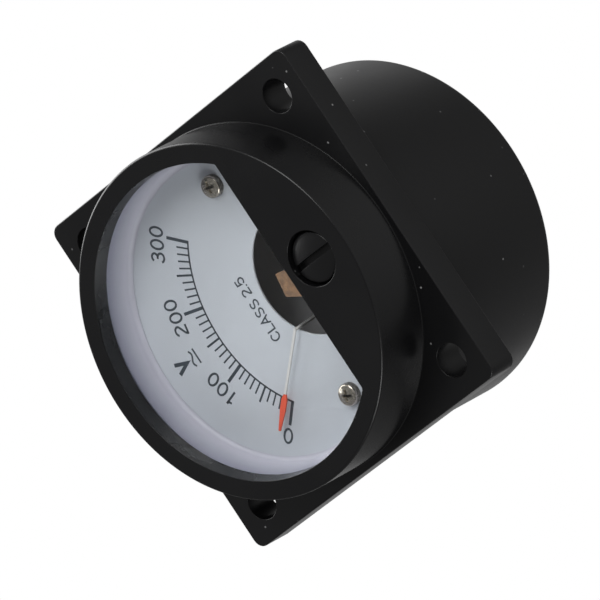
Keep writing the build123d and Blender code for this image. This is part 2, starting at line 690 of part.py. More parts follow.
# Each hairspring is a flat spiral of half circles whose centres alternate, so that they meet
# smoothly. It starts beside the hub and ends against a stud.
SPRING_STRIP = 0.14
SPRING_WIDTH = 0.35
SPRING_PITCH = 0.62
SPRING_HALF_TURNS = 10
SPRING_INNER = HUB_RADIUS + SPRING_STRIP / 2
SPRING_OUTER = SPRING_INNER + SPRING_HALF_TURNS * SPRING_PITCH / 2
SPRING_FRONT = -3.5
STUD_RADIUS = 0.4
LEVER_HEAD_ANGLE = 10.4


def hairspring(front, stud_angle):
    """Spiral spring whose front face is at depth front and whose outer end is at stud_angle."""
    turn = radians(stud_angle)
    plane = Plane(
        origin=(0, front + SPRING_WIDTH, PIVOT_Z), x_dir=(sin(turn), 0, cos(turn)), z_dir=(0, -1, 0)
    )
    with BuildPart() as spring:
        with BuildSketch(plane):
            for half_turn in range(SPRING_HALF_TURNS):
                upper = half_turn % 2 == 0
                centre = (-SPRING_PITCH / 4 if upper else SPRING_PITCH / 4, 0)
                start = 0 if upper else 180
                radius = SPRING_INNER + SPRING_PITCH / 4 + half_turn * SPRING_PITCH / 2
                with BuildLine():
                    outer = CenterArc(centre, radius + SPRING_STRIP / 2, start, 180)
                    inner = CenterArc(centre, radius - SPRING_STRIP / 2, start, 180)
                    Line(outer @ 0, inner @ 0)
                    Line(outer @ 1, inner @ 1)
                make_face()
        extrude(amount=SPRING_WIDTH)
    return spring.part


def spring_stud(front, rear, stud_angle):
    """Round stud beside a hairspring's outer end."""
    turn = radians(stud_angle)
    plane = Plane(origin=(0, rear, PIVOT_Z), x_dir=(sin(turn), 0, cos(turn)), z_dir=(0, -1, 0))
    with BuildPart() as stud:
        with BuildSketch(plane):
            with Locations((SPRING_OUTER, STUD_RADIUS)):
                Circle(STUD_RADIUS)
        extrude(amount=rear - front)
    return stud.part


LEVER_FRONT = -5.3
LEVER_REAR = -4.85
REAR_STRAP_FRONT = YOKE_FRONT + YOKE_REAR - STRAP_REAR
REAR_SPRING_FRONT = YOKE_FRONT + YOKE_REAR - SPRING_FRONT - SPRING_WIDTH
REAR_STUD_ANGLE = 80.0

save(hairspring(SPRING_FRONT, LEVER_HEAD_ANGLE), "front_hairspring")
save(hairspring(REAR_SPRING_FRONT, REAR_STUD_ANGLE), "rear_hairspring")
save(spring_stud(LEVER_REAR, SPRING_FRONT + SPRING_WIDTH, LEVER_HEAD_ANGLE), "front_spring_stud")
save(spring_stud(REAR_SPRING_FRONT, REAR_STRAP_FRONT, REAR_STUD_ANGLE), "rear_spring_stud")

# ---------------------------------------------------------------- zero adjuster
LEVER_HUB_RADIUS = 3.2
LEVER_HEAD_REACH = 6.6
LEVER_HEAD_LEFT = -2.2
LEVER_HEAD_RIGHT = 1.15
LEVER_ROOT_REACH = 1.0
LEVER_ROOT_LEFT = -4.0
FORK_REACH = 9.9
FORK_HALF_WIDTH = 1.5
FORK_SLOT_START = 7.6
FORK_CLEARANCE = 0.1
ZERO_PIN_RADIUS = ZERO_PIN_DIAMETER / 2
HEAD_TURN = radians(LEVER_HEAD_ANGLE)
HEAD_PLANE = Plane(
    origin=(0, LEVER_REAR, PIVOT_Z), x_dir=(cos(HEAD_TURN), 0, -sin(HEAD_TURN)), z_dir=(0, -1, 0)
)

with BuildPart() as zero_lever:
    with BuildSketch(facing(LEVER_REAR)):
        with Locations((0, PIVOT_Z)):
            Circle(LEVER_HUB_RADIUS)
        with Locations((0, PIVOT_Z - FORK_REACH / 2)):
            Rectangle(2 * FORK_HALF_WIDTH, FORK_REACH)
    extrude(amount=LEVER_REAR - LEVER_FRONT)
    with BuildSketch(HEAD_PLANE):
        with BuildLine():
            Polyline(
                (LEVER_ROOT_LEFT, LEVER_ROOT_REACH),
                (LEVER_HEAD_RIGHT, LEVER_ROOT_REACH),
                (LEVER_HEAD_RIGHT, LEVER_HEAD_REACH),
                (LEVER_HEAD_LEFT, LEVER_HEAD_REACH),
                close=True,
            )
        make_face()
    extrude(amount=LEVER_REAR - LEVER_FRONT)
    with BuildSketch(facing(LEVER_REAR)):
        with Locations((0, PIVOT_Z)):
            Circle(LEVER_BOSS_RADIUS + FIT_GAP)
        with Locations((0, PIVOT_Z - FORK_SLOT_START - FORK_REACH / 2)):
            Rectangle(2 * (ZERO_PIN_RADIUS + FORK_CLEARANCE), FORK_REACH)
    extrude(amount=LEVER_REAR - LEVER_FRONT, mode=Mode.SUBTRACT)
save(zero_lever.part, "zero_lever")

ZERO_HEAD_CROWN = 0.5
ZERO_HEAD_SINK = 0.1
ZERO_HEAD_FRONT = RING_FRONT + ZERO_HEAD_SINK
ZERO_HEAD_REAR = RING_FRONT + ZERO_WELL_DEPTH - FIT_GAP
ZERO_HEAD_RADIUS = ZERO_HEAD_DIAMETER / 2
ZERO_SHANK_RADIUS = ZERO_SHANK_DIAMETER / 2
CLIP_FRONT = COVER_REAR + FIT_GAP
CLIP_THICKNESS = 0.5
CLIP_RIM = 1.0
CLIP_REAR = CLIP_FRONT + CLIP_THICKNESS
ZERO_SHANK_REAR = CLIP_REAR + 0.9
ZERO_PIN_REAR = LEVER_REAR + 0.3

with BuildPart() as zero_adjust_screw:
    with BuildSketch(section_plane(ZERO_Z)):
        with BuildLine():
            crown = ThreePointArc(
                (0, ZERO_HEAD_FRONT),
                (ZERO_HEAD_RADIUS * 0.6, ZERO_HEAD_FRONT + ZERO_HEAD_CROWN * 0.36),
                (ZERO_HEAD_RADIUS, ZERO_HEAD_FRONT + ZERO_HEAD_CROWN),
            )
            Polyline(
                crown @ 1,
                (ZERO_HEAD_RADIUS, ZERO_HEAD_REAR),
                (ZERO_SHANK_RADIUS, ZERO_HEAD_REAR),
                (ZERO_SHANK_RADIUS, ZERO_SHANK_REAR),
                (0, ZERO_SHANK_REAR),
                crown @ 0,
            )
        make_face()
    revolve(axis=ZERO_AXIS)
    with BuildSketch(facing(ZERO_HEAD_FRONT + ZERO_SLOT_DEPTH)):
        with Locations((0, ZERO_Z)):
            Rectangle(ZERO_SLOT_WIDTH, ZERO_WELL_DIAMETER)
    extrude(amount=ZERO_SLOT_DEPTH, mode=Mode.SUBTRACT)
    with BuildSketch(facing(ZERO_PIN_REAR)):
        with Locations((0, ZERO_Z - ZERO_ECCENTRICITY)):
            Circle(ZERO_PIN_RADIUS)
    extrude(amount=ZERO_PIN_REAR - ZERO_SHANK_REAR)
save(zero_adjust_screw.part, "zero_adjust_screw")

with BuildPart() as zero_screw_clip:
    with BuildSketch(facing(CLIP_REAR)):
        with Locations((0, ZERO_Z)):
            Circle(ZERO_SHANK_RADIUS + CLIP_RIM)
            Circle(ZERO_SHANK_RADIUS, mode=Mode.SUBTRACT)
    extrude(amount=CLIP_REAR - CLIP_FRONT)
save(zero_screw_clip.part, "zero_screw_clip")

# ---------------------------------------------------------------- circuit board and leads
STUD_HEAD_HEIGHT = 2.4
BOARD_HALF_WIDTH = 16.0
BOARD_FOOT = 1.5
BOARD_TOP = 13.5
BOARD_CORNER = 1.0
WIRE_RADIUS = 0.3
COMPONENT_GAP = 0.2
RESISTOR_PLACE_Z = 11.4
RESISTOR_LENGTH = 11.0
RESISTOR_RADIUS = 1.9
DIODE_PLACES = [(-2.8, 2.9), (2.8, 2.9), (-2.8, 6.3), (2.8, 6.3)]
DIODE_LENGTH = 3.6
DIODE_RADIUS = 1.2
LEG_OVERHANG = 0.7

with BuildPart() as circuit_board:
    with BuildSketch(facing(BOARD_REAR)):
        with Locations((0, (BOARD_FOOT + BOARD_TOP) / 2)):
            RectangleRounded(2 * BOARD_HALF_WIDTH, BOARD_TOP - BOARD_FOOT, BOARD_CORNER)
        with Locations(*TERMINAL_PLACES):
            Circle(TERMINAL_CLEARANCE_RADIUS, mode=Mode.SUBTRACT)
    extrude(amount=BOARD_REAR - BOARD_FRONT)
save(circuit_board.part, "circuit_board")


def axial_parts(places, length, radius):
    """Components along X, each with a leg bent down to the board at either end."""
    middle = BOARD_FRONT - radius - COMPONENT_GAP
    leg_x = length / 2 + LEG_OVERHANG
    with BuildPart() as parts:
        for x, z in places:
            with BuildSketch(Plane(origin=(x, middle, z), x_dir=(0, 1, 0), z_dir=(1, 0, 0))):
                Circle(radius)
            extrude(amount=length / 2, both=True)
            with BuildSketch(Plane(origin=(x, middle, z), x_dir=(0, 1, 0), z_dir=(1, 0, 0))):
                Circle(WIRE_RADIUS)
            extrude(amount=leg_x, both=True)
            with BuildSketch(facing(BOARD_FRONT)):
                with Locations((x - leg_x, z), (x + leg_x, z)):
                    Circle(WIRE_RADIUS)
            extrude(amount=BOARD_FRONT - middle)
    return parts.part


save(axial_parts([(0, RESISTOR_PLACE_Z)], RESISTOR_LENGTH, RESISTOR_RADIUS), "series_resistor")
save(axial_parts(DIODE_PLACES, DIODE_LENGTH, DIODE_RADIUS), "rectifier_diodes")

LEAD_RADIUS = 0.5
LEAD_BEND = 1.3
FRONT_LEAD_Y = -1.0
REAR_LEAD_Y = 15.0
LEAD_ROUTES = {
    "front_lead": [
        (-LEAD_X, BOARD_FRONT, LEAD_Z),
        (-LEAD_X, FRONT_LEAD_Y, LEAD_Z),
        (-LEAD_X, FRONT_LEAD_Y, PIVOT_Z),
        (-BRIDGE_HALF_SPAN, FRONT_LEAD_Y, PIVOT_Z),
    ],
    "rear_lead": [
        (LEAD_X, BOARD_FRONT, LEAD_Z),
        (LEAD_X, REAR_LEAD_Y, LEAD_Z),
        (LEAD_X, REAR_LEAD_Y, PIVOT_Z),
        (BRIDGE_HALF_SPAN, REAR_LEAD_Y, PIVOT_Z),
    ],
}

for lead_name, route in LEAD_ROUTES.items():
    with BuildPart() as lead:
        with BuildLine():
            FilletPolyline(*route, radius=LEAD_BEND)
        with BuildSketch(facing(BOARD_FRONT)):
            with Locations((route[0][0], route[0][2])):
                Circle(LEAD_RADIUS)
        sweep()
    save(lead.part, lead_name)

# ---------------------------------------------------------------- rear terminals
WASHER_THICKNESS = 0.8
WASHER_RADIUS = 4.5
CLAMP_NUT_HEIGHT = 2.4
LUG_THICKNESS = 0.6
SPRING_WASHER_THICKNESS = 0.9
SPRING_WASHER_RADIUS = 3.6
SLIT_WIDTH = 0.6
TERMINAL_NUT_HEIGHT = 3.2
WASHER_REAR = PAD_REAR + WASHER_THICKNESS
CLAMP_NUT_REAR = WASHER_REAR + CLAMP_NUT_HEIGHT
LUG_REAR = CLAMP_NUT_REAR + LUG_THICKNESS
SPRING_WASHER_REAR = LUG_REAR + SPRING_WASHER_THICKNESS
TERMINAL_NUT_REAR = SPRING_WASHER_REAR + TERMINAL_NUT_HEIGHT
THREAD_FRONT = TERMINAL_NUT_REAR + 0.15
STUD_CHAMFER = 0.4
NUT_RADIUS = NUT_WIDTH / 2
NUT_CHAMFER = 0.25
HEX_CORNER = NUT_RADIUS / cos(radians(30))
SPACER_RADIUS = 3.5
LUG_RADIUS = 4.0
LUG_REACH = 9.5
LUG_WIDTH = 3.2
LUG_EYE_PLACE = 7.3
LUG_EYE_LENGTH = 2.4
LUG_EYE_WIDTH = 1.3

# Where the nuts grip it the stud has its thread's pitch diameter, and its free end the full one.
with BuildPart() as terminal_studs:
    with BuildSketch(facing(STUD_END)):
        with Locations(*TERMINAL_PLACES):
            Circle(STUD_DIAMETER / 2)
    extrude(amount=STUD_END - THREAD_FRONT)
    chamfer(terminal_studs.faces().filter_by(Axis.Y).group_by(Axis.Y)[-1].edges(), STUD_CHAMFER)
    with BuildSketch(facing(THREAD_FRONT)):
        with Locations(*TERMINAL_PLACES):
            Circle(STUD_PITCH_RADIUS)
    extrude(amount=THREAD_FRONT - BOARD_FRONT)
    with BuildSketch(facing(BOARD_FRONT)):
        with Locations(*TERMINAL_PLACES):
            RegularPolygon(HEX_CORNER, 6)
    extrude(amount=STUD_HEAD_HEIGHT)
save(terminal_studs.part, "terminal_studs")


def terminal_nuts(front, rear):
    """Hexagon nuts, one on each stud, with eased corners."""
    with BuildPart() as nuts:
        with BuildSketch(facing(rear)):
            with Locations(*TERMINAL_PLACES):
                RegularPolygon(HEX_CORNER, 6)
                Circle(STUD_PITCH_RADIUS, mode=Mode.SUBTRACT)
        extrude(amount=rear - front)
        corners = nuts.edges().filter_by(Axis.Y).filter_by(lambda edge: edge.length > 1)
        chamfer(corners, NUT_CHAMFER)
    return nuts.part


def terminal_collars(front, rear, radius, slit=0.0):
    """Plain round collars, one on each stud, slit open if asked."""
    with BuildPart() as collars:
        with BuildSketch(facing(rear)):
            with Locations(*TERMINAL_PLACES):
                Circle(radius)
                Circle(TERMINAL_CLEARANCE_RADIUS, mode=Mode.SUBTRACT)
            if slit:
                with Locations(*[(x, z + radius / 2) for x, z in TERMINAL_PLACES]):
                    Rectangle(slit, radius, mode=Mode.SUBTRACT)
        extrude(amount=rear - front)
    return collars.part


save(terminal_collars(BOARD_REAR, CAVITY_REAR, SPACER_RADIUS), "terminal_spacers")
save(terminal_collars(PAD_REAR, WASHER_REAR, WASHER_RADIUS), "clamp_washers")
save(terminal_nuts(WASHER_REAR, CLAMP_NUT_REAR), "clamp_nuts")
save(terminal_collars(LUG_REAR, SPRING_WASHER_REAR, SPRING_WASHER_RADIUS, SLIT_WIDTH), "spring_washers")
save(terminal_nuts(SPRING_WASHER_REAR, TERMINAL_NUT_REAR), "terminal_nuts")

with BuildPart() as solder_lugs:
    with BuildSketch(facing(LUG_REAR)):
        for x, z in TERMINAL_PLACES:
            with Locations((x, z)):
                Circle(LUG_RADIUS)
            with Locations((x, z + LUG_REACH / 2)):
                SlotOverall(LUG_REACH + LUG_WIDTH, LUG_WIDTH, rotation=90)
            with Locations((x, z)):
                Circle(TERMINAL_CLEARANCE_RADIUS, mode=Mode.SUBTRACT)
            with Locations((x, z + LUG_EYE_PLACE)):
                SlotOverall(LUG_EYE_LENGTH, LUG_EYE_WIDTH, rotation=90, mode=Mode.SUBTRACT)
    extrude(amount=LUG_THICKNESS)
save(solder_lugs.part, "solder_lugs")
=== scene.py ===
import bmesh
import bpy
import math
from mathutils import Matrix, Vector


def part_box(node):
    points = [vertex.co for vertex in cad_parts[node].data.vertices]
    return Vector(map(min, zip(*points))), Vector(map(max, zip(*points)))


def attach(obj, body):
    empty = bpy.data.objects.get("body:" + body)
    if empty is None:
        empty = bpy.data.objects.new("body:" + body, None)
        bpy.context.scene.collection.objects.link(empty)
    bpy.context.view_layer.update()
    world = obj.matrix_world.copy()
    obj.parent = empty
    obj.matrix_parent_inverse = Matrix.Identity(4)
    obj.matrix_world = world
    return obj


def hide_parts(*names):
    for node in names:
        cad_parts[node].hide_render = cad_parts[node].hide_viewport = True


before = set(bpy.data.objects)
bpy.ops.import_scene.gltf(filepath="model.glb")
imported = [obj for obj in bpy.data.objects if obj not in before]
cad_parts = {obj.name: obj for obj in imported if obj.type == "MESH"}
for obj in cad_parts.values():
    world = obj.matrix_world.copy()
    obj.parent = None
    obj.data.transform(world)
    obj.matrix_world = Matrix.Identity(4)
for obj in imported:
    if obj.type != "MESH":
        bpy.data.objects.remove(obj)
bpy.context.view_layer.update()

# The meter's visible shells, its dial, screws and terminals are rebuilt here as finer meshes in
# the CAD's own places. Lengths in this script are in millimetres until a mesh is written, in
# metres. A plane outline is a list of (x, z) points as seen from the front, and depth is y.
MM = 0.001

# ---------------------------------------------------------------- sizes, from the CAD where it has them


def cad(node):
    """A CAD node's lowest and highest corners, in millimetres."""
    low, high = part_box(node)
    return low / MM, high / MM


HOUSING_LOW, HOUSING_HIGH = cad("rear_housing")
BEZEL_LOW, BEZEL_HIGH = cad("front_bezel")
WINDOW_LOW, WINDOW_HIGH = cad("window")
DIAL_LOW, DIAL_HIGH = cad("dial_plate")
SURROUND_LOW, SURROUND_HIGH = cad("dial_surround")
ZERO_LOW, ZERO_HIGH = cad("zero_adjust_screw")
YOKE_LOW, YOKE_HIGH = cad("yoke_ring")
DIAL_SCREWS_LOW, DIAL_SCREWS_HIGH = cad("dial_screws")
STUDS_LOW, STUDS_HIGH = cad("terminal_studs")

FLANGE_HALF = HOUSING_HIGH.x
FLANGE_FRONT = HOUSING_LOW.y
FLANGE_CORNER = 1.5
FLANGE_ROUND = 0.16
HOLE_PLACE = 21.0
HOLE_RADIUS = 2.4
HOLE_ROUND = 0.06
BODY_RADIUS = 24.6
BODY_REAR = 26.0
BODY_ROUND = 0.9
CAVITY_RADIUS = 22.8
CAVITY_REAR = 24.0
SPIGOT_SEAT_RADIUS = 24.05
SPIGOT_SEAT_REAR = -1.55
BOSS_PLACES = [(0.0, 19.8), (-15.8, -12.0), (15.8, -12.0)]
BOSS_RADIUS = 2.75
BOSS_FRONT = 8.5
PILOT_RADIUS = 0.8
PILOT_REAR = 20.0
PAD_RADIUS = 5.2
PAD_REAR = HOUSING_HIGH.y
PAD_ROUND = 0.2
STUD_HOLE_RADIUS = 2.1

RING_RADIUS = BEZEL_HIGH.x
RING_FRONT = BEZEL_LOW.y
RING_ROUND = 0.35
FOOT_BEAD = 0.14
FOOT_BEAD_OUT = 0.3
FOOT_BEAD_UP = 0.4
FOOT_BEAD_EDGE = 0.01
SIGHT_RADIUS = 22.2
SIGHT_FLARE = -0.1
SIGHT_ROUND = 0.08
SIGHT_CORNER = 0.5
CHORD_Z = -13.3
SPIGOT_INSET = 1.0
BORE_INSET = 1.8
SPIGOT_REAR = BEZEL_HIGH.y
SHELF_Y = WINDOW_LOW.y
COVER_THICKNESS = 3.4
COVER_REAR = RING_FRONT + COVER_THICKNESS
COVER_RADIUS = 22.7
COVER_STEP_GAP = 0.05
COVER_STEP_Z = WINDOW_LOW.z - COVER_STEP_GAP
ZERO_Z = (ZERO_LOW.z + ZERO_HIGH.z) / 2
WELL_RADIUS = 3.9
WELL_DEPTH = 2.7
WELL_FLOOR = RING_FRONT + WELL_DEPTH
WELL_ROUND = 0.07
SHANK_HOLE_RADIUS = 2.0

PIVOT_Z = (YOKE_LOW.z + YOKE_HIGH.z) / 2
DIAL_FRONT = DIAL_LOW.y
DIAL_THICKNESS = 0.3
DIAL_REAR = DIAL_FRONT + DIAL_THICKNESS
DIAL_EASE = 0.05
DIAL_RADIUS = DIAL_HIGH.x
DIAL_FOOT_Z = DIAL_LOW.z
NOTCH_RADIUS = 9.1
DIAL_SCREW_X = 16.65
DIAL_SCREW_Z = (DIAL_SCREWS_LOW.z + DIAL_SCREWS_HIGH.z) / 2
DIAL_SCREW_RISE = 0.3
DIAL_SCREW_FRONT = DIAL_SCREWS_LOW.y - DIAL_SCREW_RISE
DIAL_SCREW_HOLE = 1.0

TERMINAL_X = 10.0
TERMINAL_Z = 7.0
TERMINAL_PLACES = [(-TERMINAL_X, TERMINAL_Z), (TERMINAL_X, TERMINAL_Z)]

# FACE_RIM is the flat margin inside a rounded edge; the others are segment counts.
FACE_RIM = 0.04
ROUND_STEPS = 5
FINE = 224
MEDIUM = 96
COARSE = 48


# ---------------------------------------------------------------- outlines
def circle(x, z, radius, count):
    """Outline of a circle."""
    turns = [2 * math.pi * k / count for k in range(count)]
    return [(x + radius * math.cos(t), z + radius * math.sin(t)) for t in turns]


def arc(x, z, radius, start, end, count):
    """Points along an arc between two angles in radians, both ends included."""
    turns = [start + (end - start) * k / count for k in range(count + 1)]
    return [(x + radius * math.cos(t), z + radius * math.sin(t)) for t in turns]


def round_square(half, corner, count=6):
    """Outline of a square with rounded corners."""
    points = []
    inner = half - corner
    for k, (sx, sz) in enumerate(((1, 1), (-1, 1), (-1, -1), (1, -1))):
        start = k * math.pi / 2
        points += arc(sx * inner, sz * inner, corner, start, start + math.pi / 2, count)
    return points


def sight_outline(grow, flare=0.0):
    """D-shaped sight opening; grow spreads it all round and flare only its round side."""
    radius = SIGHT_RADIUS + grow + flare
    chord = CHORD_Z - grow
    corner = SIGHT_CORNER + grow
    corner_z = chord + corner
    corner_x = math.sqrt((radius - corner) ** 2 - corner_z**2)
    lean = math.atan2(corner_z, corner_x)
    points = arc(0, 0, radius, lean, math.pi - lean, FINE)
    points += arc(-corner_x, corner_z, corner, math.pi - lean, 1.5 * math.pi, 8)[1:]
    points += arc(corner_x, corner_z, corner, -0.5 * math.pi, lean, 8)[:-1]
    return points


def lip(face_y, size, inside, toward):
    """Steps (grow, y) from a flat face round its edge into a wall.

    inside is +1 where the material is inside the outline and -1 round a hole; toward is the
    way along y that the wall leaves the face."""
    steps = [(-inside * (size + FACE_RIM), face_y)]
    for k in range(ROUND_STEPS + 1):
        a = math.pi / 2 * k / ROUND_STEPS
        steps.append((-inside * size * (1 - math.sin(a)), face_y + toward * size * (1 - math.cos(a))))
    return steps


# ---------------------------------------------------------------- mesh building
class Shell:
    """A closed mesh made of walls that follow an outline and flat faces between their ends."""

    def __init__(self):
        self.bm = bmesh.new()

    def ring(self, points, y):
        """Vertices at the outline's points, at one depth."""
        return [self.point(x, y, z) for x, z in points]

    def point(self, x, y, z):
        """A vertex at a place in millimetres."""
        return self.bm.verts.new((x * MM, y * MM, z * MM))

    def bridge(self, first, second):
        """Joins two rings of equal count with a closed band of quads."""
        count = len(first)
        for k in range(count):
            n = (k + 1) % count
            self.bm.faces.new((first[k], first[n], second[n], second[k]))

    def wall(self, outline, steps):
        """Follows outline(grow) through the (grow, y) steps; returns the first and last rings."""
        rings = [self.ring(outline(grow), y) for grow, y in steps]
        for first, second in zip(rings, rings[1:]):
            self.bridge(first, second)
        return rings[0], rings[-1]

    def face(self, *rings):
        """Fills the flat face between an outer ring and any holes in it."""
        edges = []
        for ring in rings:
            for k, vert in enumerate(ring):
                after = ring[(k + 1) % len(ring)]
                edge = self.bm.edges.get((vert, after))
                edges.append(edge or self.bm.edges.new((vert, after)))
        bmesh.ops.triangle_fill(self.bm, use_beauty=True, edges=edges)

    def lathe(self, x, z, steps, count):
        """Solid of revolution about an axis along y through (x, z), from (radius, y) steps."""
        first, last = self.wall(lambda r: circle(x, z, r, count), steps)
        self.bm.faces.new(first)
        self.bm.faces.new(last)

    def mesh(self, name):
        """The finished mesh, with its normals facing outwards."""
        bmesh.ops.recalc_face_normals(self.bm, faces=self.bm.faces)
        made = bpy.data.meshes.new(name)
        self.bm.to_mesh(made)
        self.bm.free()
        return made


def place(mesh, name, body, material, node=None, sharp=38):
    """Makes the piece: shading, material and body, and hides the CAD part it stands for."""
    piece = bpy.data.objects.new(name, mesh)
    bpy.context.scene.collection.objects.link(piece)
    mesh.shade_smooth()
    mesh.set_sharp_from_angle(angle=math.radians(sharp))
    mesh.materials.clear()
    mesh.materials.append(material)
    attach(piece, body)
    if node:
        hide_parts(node)


def applied(piece):
    """The piece's mesh with its modifiers worked in."""
    graph = bpy.context.evaluated_depsgraph_get()
    return bpy.data.meshes.new_from_object(piece.evaluated_get(graph))


def cut(mesh, cutters, bevel=0.0):
    """mesh with the cutter meshes taken out, and its sharp edges eased by bevel millimetres."""
    body = bpy.data.objects.new("cut_body", mesh)
    bpy.context.scene.collection.objects.link(body)
    helpers = [body]
    for cutter in cutters:
        tool = bpy.data.objects.new("cut_tool", cutter)
        bpy.context.scene.collection.objects.link(tool)
        helpers.append(tool)
        taking = body.modifiers.new("take", "BOOLEAN")
        taking.operation = "DIFFERENCE"
        taking.solver = "EXACT"
        taking.object = tool
    if bevel:
        easing = body.modifiers.new("ease", "BEVEL")
        easing.width = bevel * MM
        easing.segments = 2
        easing.limit_method = "ANGLE"
        easing.angle_limit = math.radians(40)
    made = applied(body)
    for helper in helpers:
        bpy.data.objects.remove(helper)
    return made


def joined(meshes, name):
    """Several meshes as one."""
    bm = bmesh.new()
    for mesh in meshes:
        bm.from_mesh(mesh)
    made = bpy.data.meshes.new(name)
    bm.to_mesh(made)
    bm.free()
    return made


def block(centre, size, turn=0.0, taper=1.0):
    """Box mesh in millimetres, turned about y; its +y end is scaled by taper."""
    bm = bmesh.new()
    bmesh.ops.create_cube(bm, size=1.0)
    for v in bm.verts:
        if v.co.y > 0:
            v.co.x *= taper
            v.co.z *= taper
    matrix = Matrix.Translation(Vector(centre) * MM) @ Matrix.Rotation(turn, 4, "Y")
    matrix = matrix @ Matrix.Diagonal((size[0] * MM, size[1] * MM, size[2] * MM, 1.0))
    bmesh.ops.transform(bm, matrix=matrix, verts=bm.verts)
    made = bpy.data.meshes.new("block")
    bm.to_mesh(made)
    bm.free()
    return made


# ---------------------------------------------------------------- materials
class Surface:
    """A Principled material with helpers for its procedural detail."""

    def __init__(self, name, color, roughness, metallic=0.0, **sockets):
        self.material = bpy.data.materials.new(name)
        self.material.use_nodes = True
        self.nodes = self.material.node_tree.nodes
        self.links = self.material.node_tree.links
        self.shader = self.nodes["Principled BSDF"]
        self.shader.inputs["Base Color"].default_value = (*color, 1.0)
        self.shader.inputs["Roughness"].default_value = roughness
        self.shader.inputs["Metallic"].default_value = metallic
        for socket, value in sockets.items():
            self.shader.inputs[socket.replace("_", " ")].default_value = value
        self.where = self.nodes.new("ShaderNodeTexCoord").outputs["Object"]

    def noise(self, size, detail=3.0, stretch=(1, 1, 1)):
        """Noise whose features are about size millimetres across."""
        scale = self.nodes.new("ShaderNodeMapping")
        scale.inputs["Scale"].default_value = stretch
        self.links.new(self.where, scale.inputs["Vector"])
        node = self.nodes.new("ShaderNodeTexNoise")
        node.inputs["Scale"].default_value = 1 / (size * MM)
        node.inputs["Detail"].default_value = detail
        self.links.new(scale.outputs["Vector"], node.inputs["Vector"])
        return node.outputs["Fac"]

    def remap(self, value, low, high, to_low, to_high):
        """value carried from one range to another, and held at its ends."""
        node = self.nodes.new("ShaderNodeMapRange")
        node.inputs["From Min"].default_value = low
        node.inputs["From Max"].default_value = high
        node.inputs["To Min"].default_value = to_low
        node.inputs["To Max"].default_value = to_high
        self.links.new(value, node.inputs["Value"])
        return node.outputs["Result"]

    def math(self, operation, first, second):
        """Result of a two-value operation on sockets or plain numbers."""
        node = self.nodes.new("ShaderNodeMath")
        node.operation = operation
        for socket, value in zip(node.inputs, (first, second)):
            if isinstance(value, (int, float)):
                socket.default_value = value
            else:
                self.links.new(value, socket)
        return node.outputs["Value"]

    def mix(self, share, first, second):
        """Colour mix; first and second are sockets or plain colours."""
        node = self.nodes.new("ShaderNodeMix")
        node.data_type = "RGBA"
        self.links.new(share, node.inputs["Factor"])
        for key, value in (("A", first), ("B", second)):
            socket = [s for s in node.inputs if s.name == key and s.type == "RGBA"][0]
            if isinstance(value, tuple):
                socket.default_value = (*value, 1.0)
            else:
                self.links.new(value, socket)
        return [s for s in node.outputs if s.type == "RGBA"][0]

    def bump(self, height, depth):
        """Bump of about depth millimetres."""
        node = self.nodes.new("ShaderNodeBump")
        node.inputs["Distance"].default_value = depth * MM
        self.links.new(height, node.inputs["Height"])
        self.links.new(node.outputs["Normal"], self.shader.inputs["Normal"])

    def set(self, socket, value):
        """Drives one of the shader's inputs."""
        self.links.new(value, self.shader.inputs[socket])

    def depth(self, front, rear):
        """0 at one depth, in millimetres, rising to 1 at another."""
        parts = self.nodes.new("ShaderNodeSeparateXYZ")
        self.links.new(self.where, parts.inputs["Vector"])
        return self.remap(parts.outputs["Y"], front * MM, rear * MM, 0.0, 1.0)

    def specks(self, spacing, size, share):
        """1 on sparse small spots: about size mm across, in a share of cells of that spacing."""
        cells = self.nodes.new("ShaderNodeTexVoronoi")
        cells.inputs["Scale"].default_value = 1 / (spacing * MM)
        self.links.new(self.where, cells.inputs["Vector"])
        near = self.remap(cells.outputs["Distance"], 0.0, size / spacing, 1.0, 0.0)
        pick = self.nodes.new("ShaderNodeSeparateColor")
        self.links.new(cells.outputs["Color"], pick.inputs["Color"])
        chosen = self.math("LESS_THAN", pick.outputs[0], share)
        return self.math("MULTIPLY", near, chosen)


def black_plastic(name, color, roughness, dust, dust_share):
    """Moulded glossy black plastic with faint orange peel, handling marks and a little dust."""
    s = Surface(name, color, roughness)
    handling = s.noise(9.0, 4.0)
    fine = s.noise(0.5, 2.0)
    s.set("Roughness", s.remap(handling, 0.3, 0.7, roughness - 0.02, roughness + 0.04))
    spots = s.math("MULTIPLY", s.specks(2.2, 0.2, dust_share), s.remap(fine, 0.35, 0.6, 0.2, 1.0))
    s.set("Base Color", s.mix(spots, color, (dust, dust, dust)))
    s.bump(fine, 0.004)
    return s.material


def satin_metal(name, color, roughness, grain=0.25, spread=0.10, depth=0.003):
    """Plated or bare metal with fine roughness changes and a slight tarnish."""
    s = Surface(name, color, roughness, metallic=1.0)
    cloud = s.noise(2.5, 4.0)
    fine = s.noise(grain, 3.0)
    s.set("Roughness", s.remap(fine, 0.3, 0.7, roughness - spread, roughness + spread))
    darker = tuple(c * 0.78 for c in color)
    s.set("Base Color", s.mix(s.remap(cloud, 0.35, 0.75, 0.0, 1.0), color, darker))
    s.bump(fine, depth)
    return s.material


def satin_plastic(name, color, roughness, shade=0.9, depth=0.004, size=0.4):
    """Plain moulded or painted surface with slight shade and gloss changes."""
    s = Surface(name, color, roughness)
    cloud = s.noise(6.0, 3.0)
    fine = s.noise(size, 3.0)
    darker = tuple(c * shade for c in color)
    s.set("Base Color", s.mix(s.remap(cloud, 0.3, 0.7, 0.0, 1.0), color, darker))
    s.set("Roughness", s.remap(fine, 0.3, 0.7, roughness - 0.06, roughness + 0.06))
    s.bump(fine, depth)
    return s.material


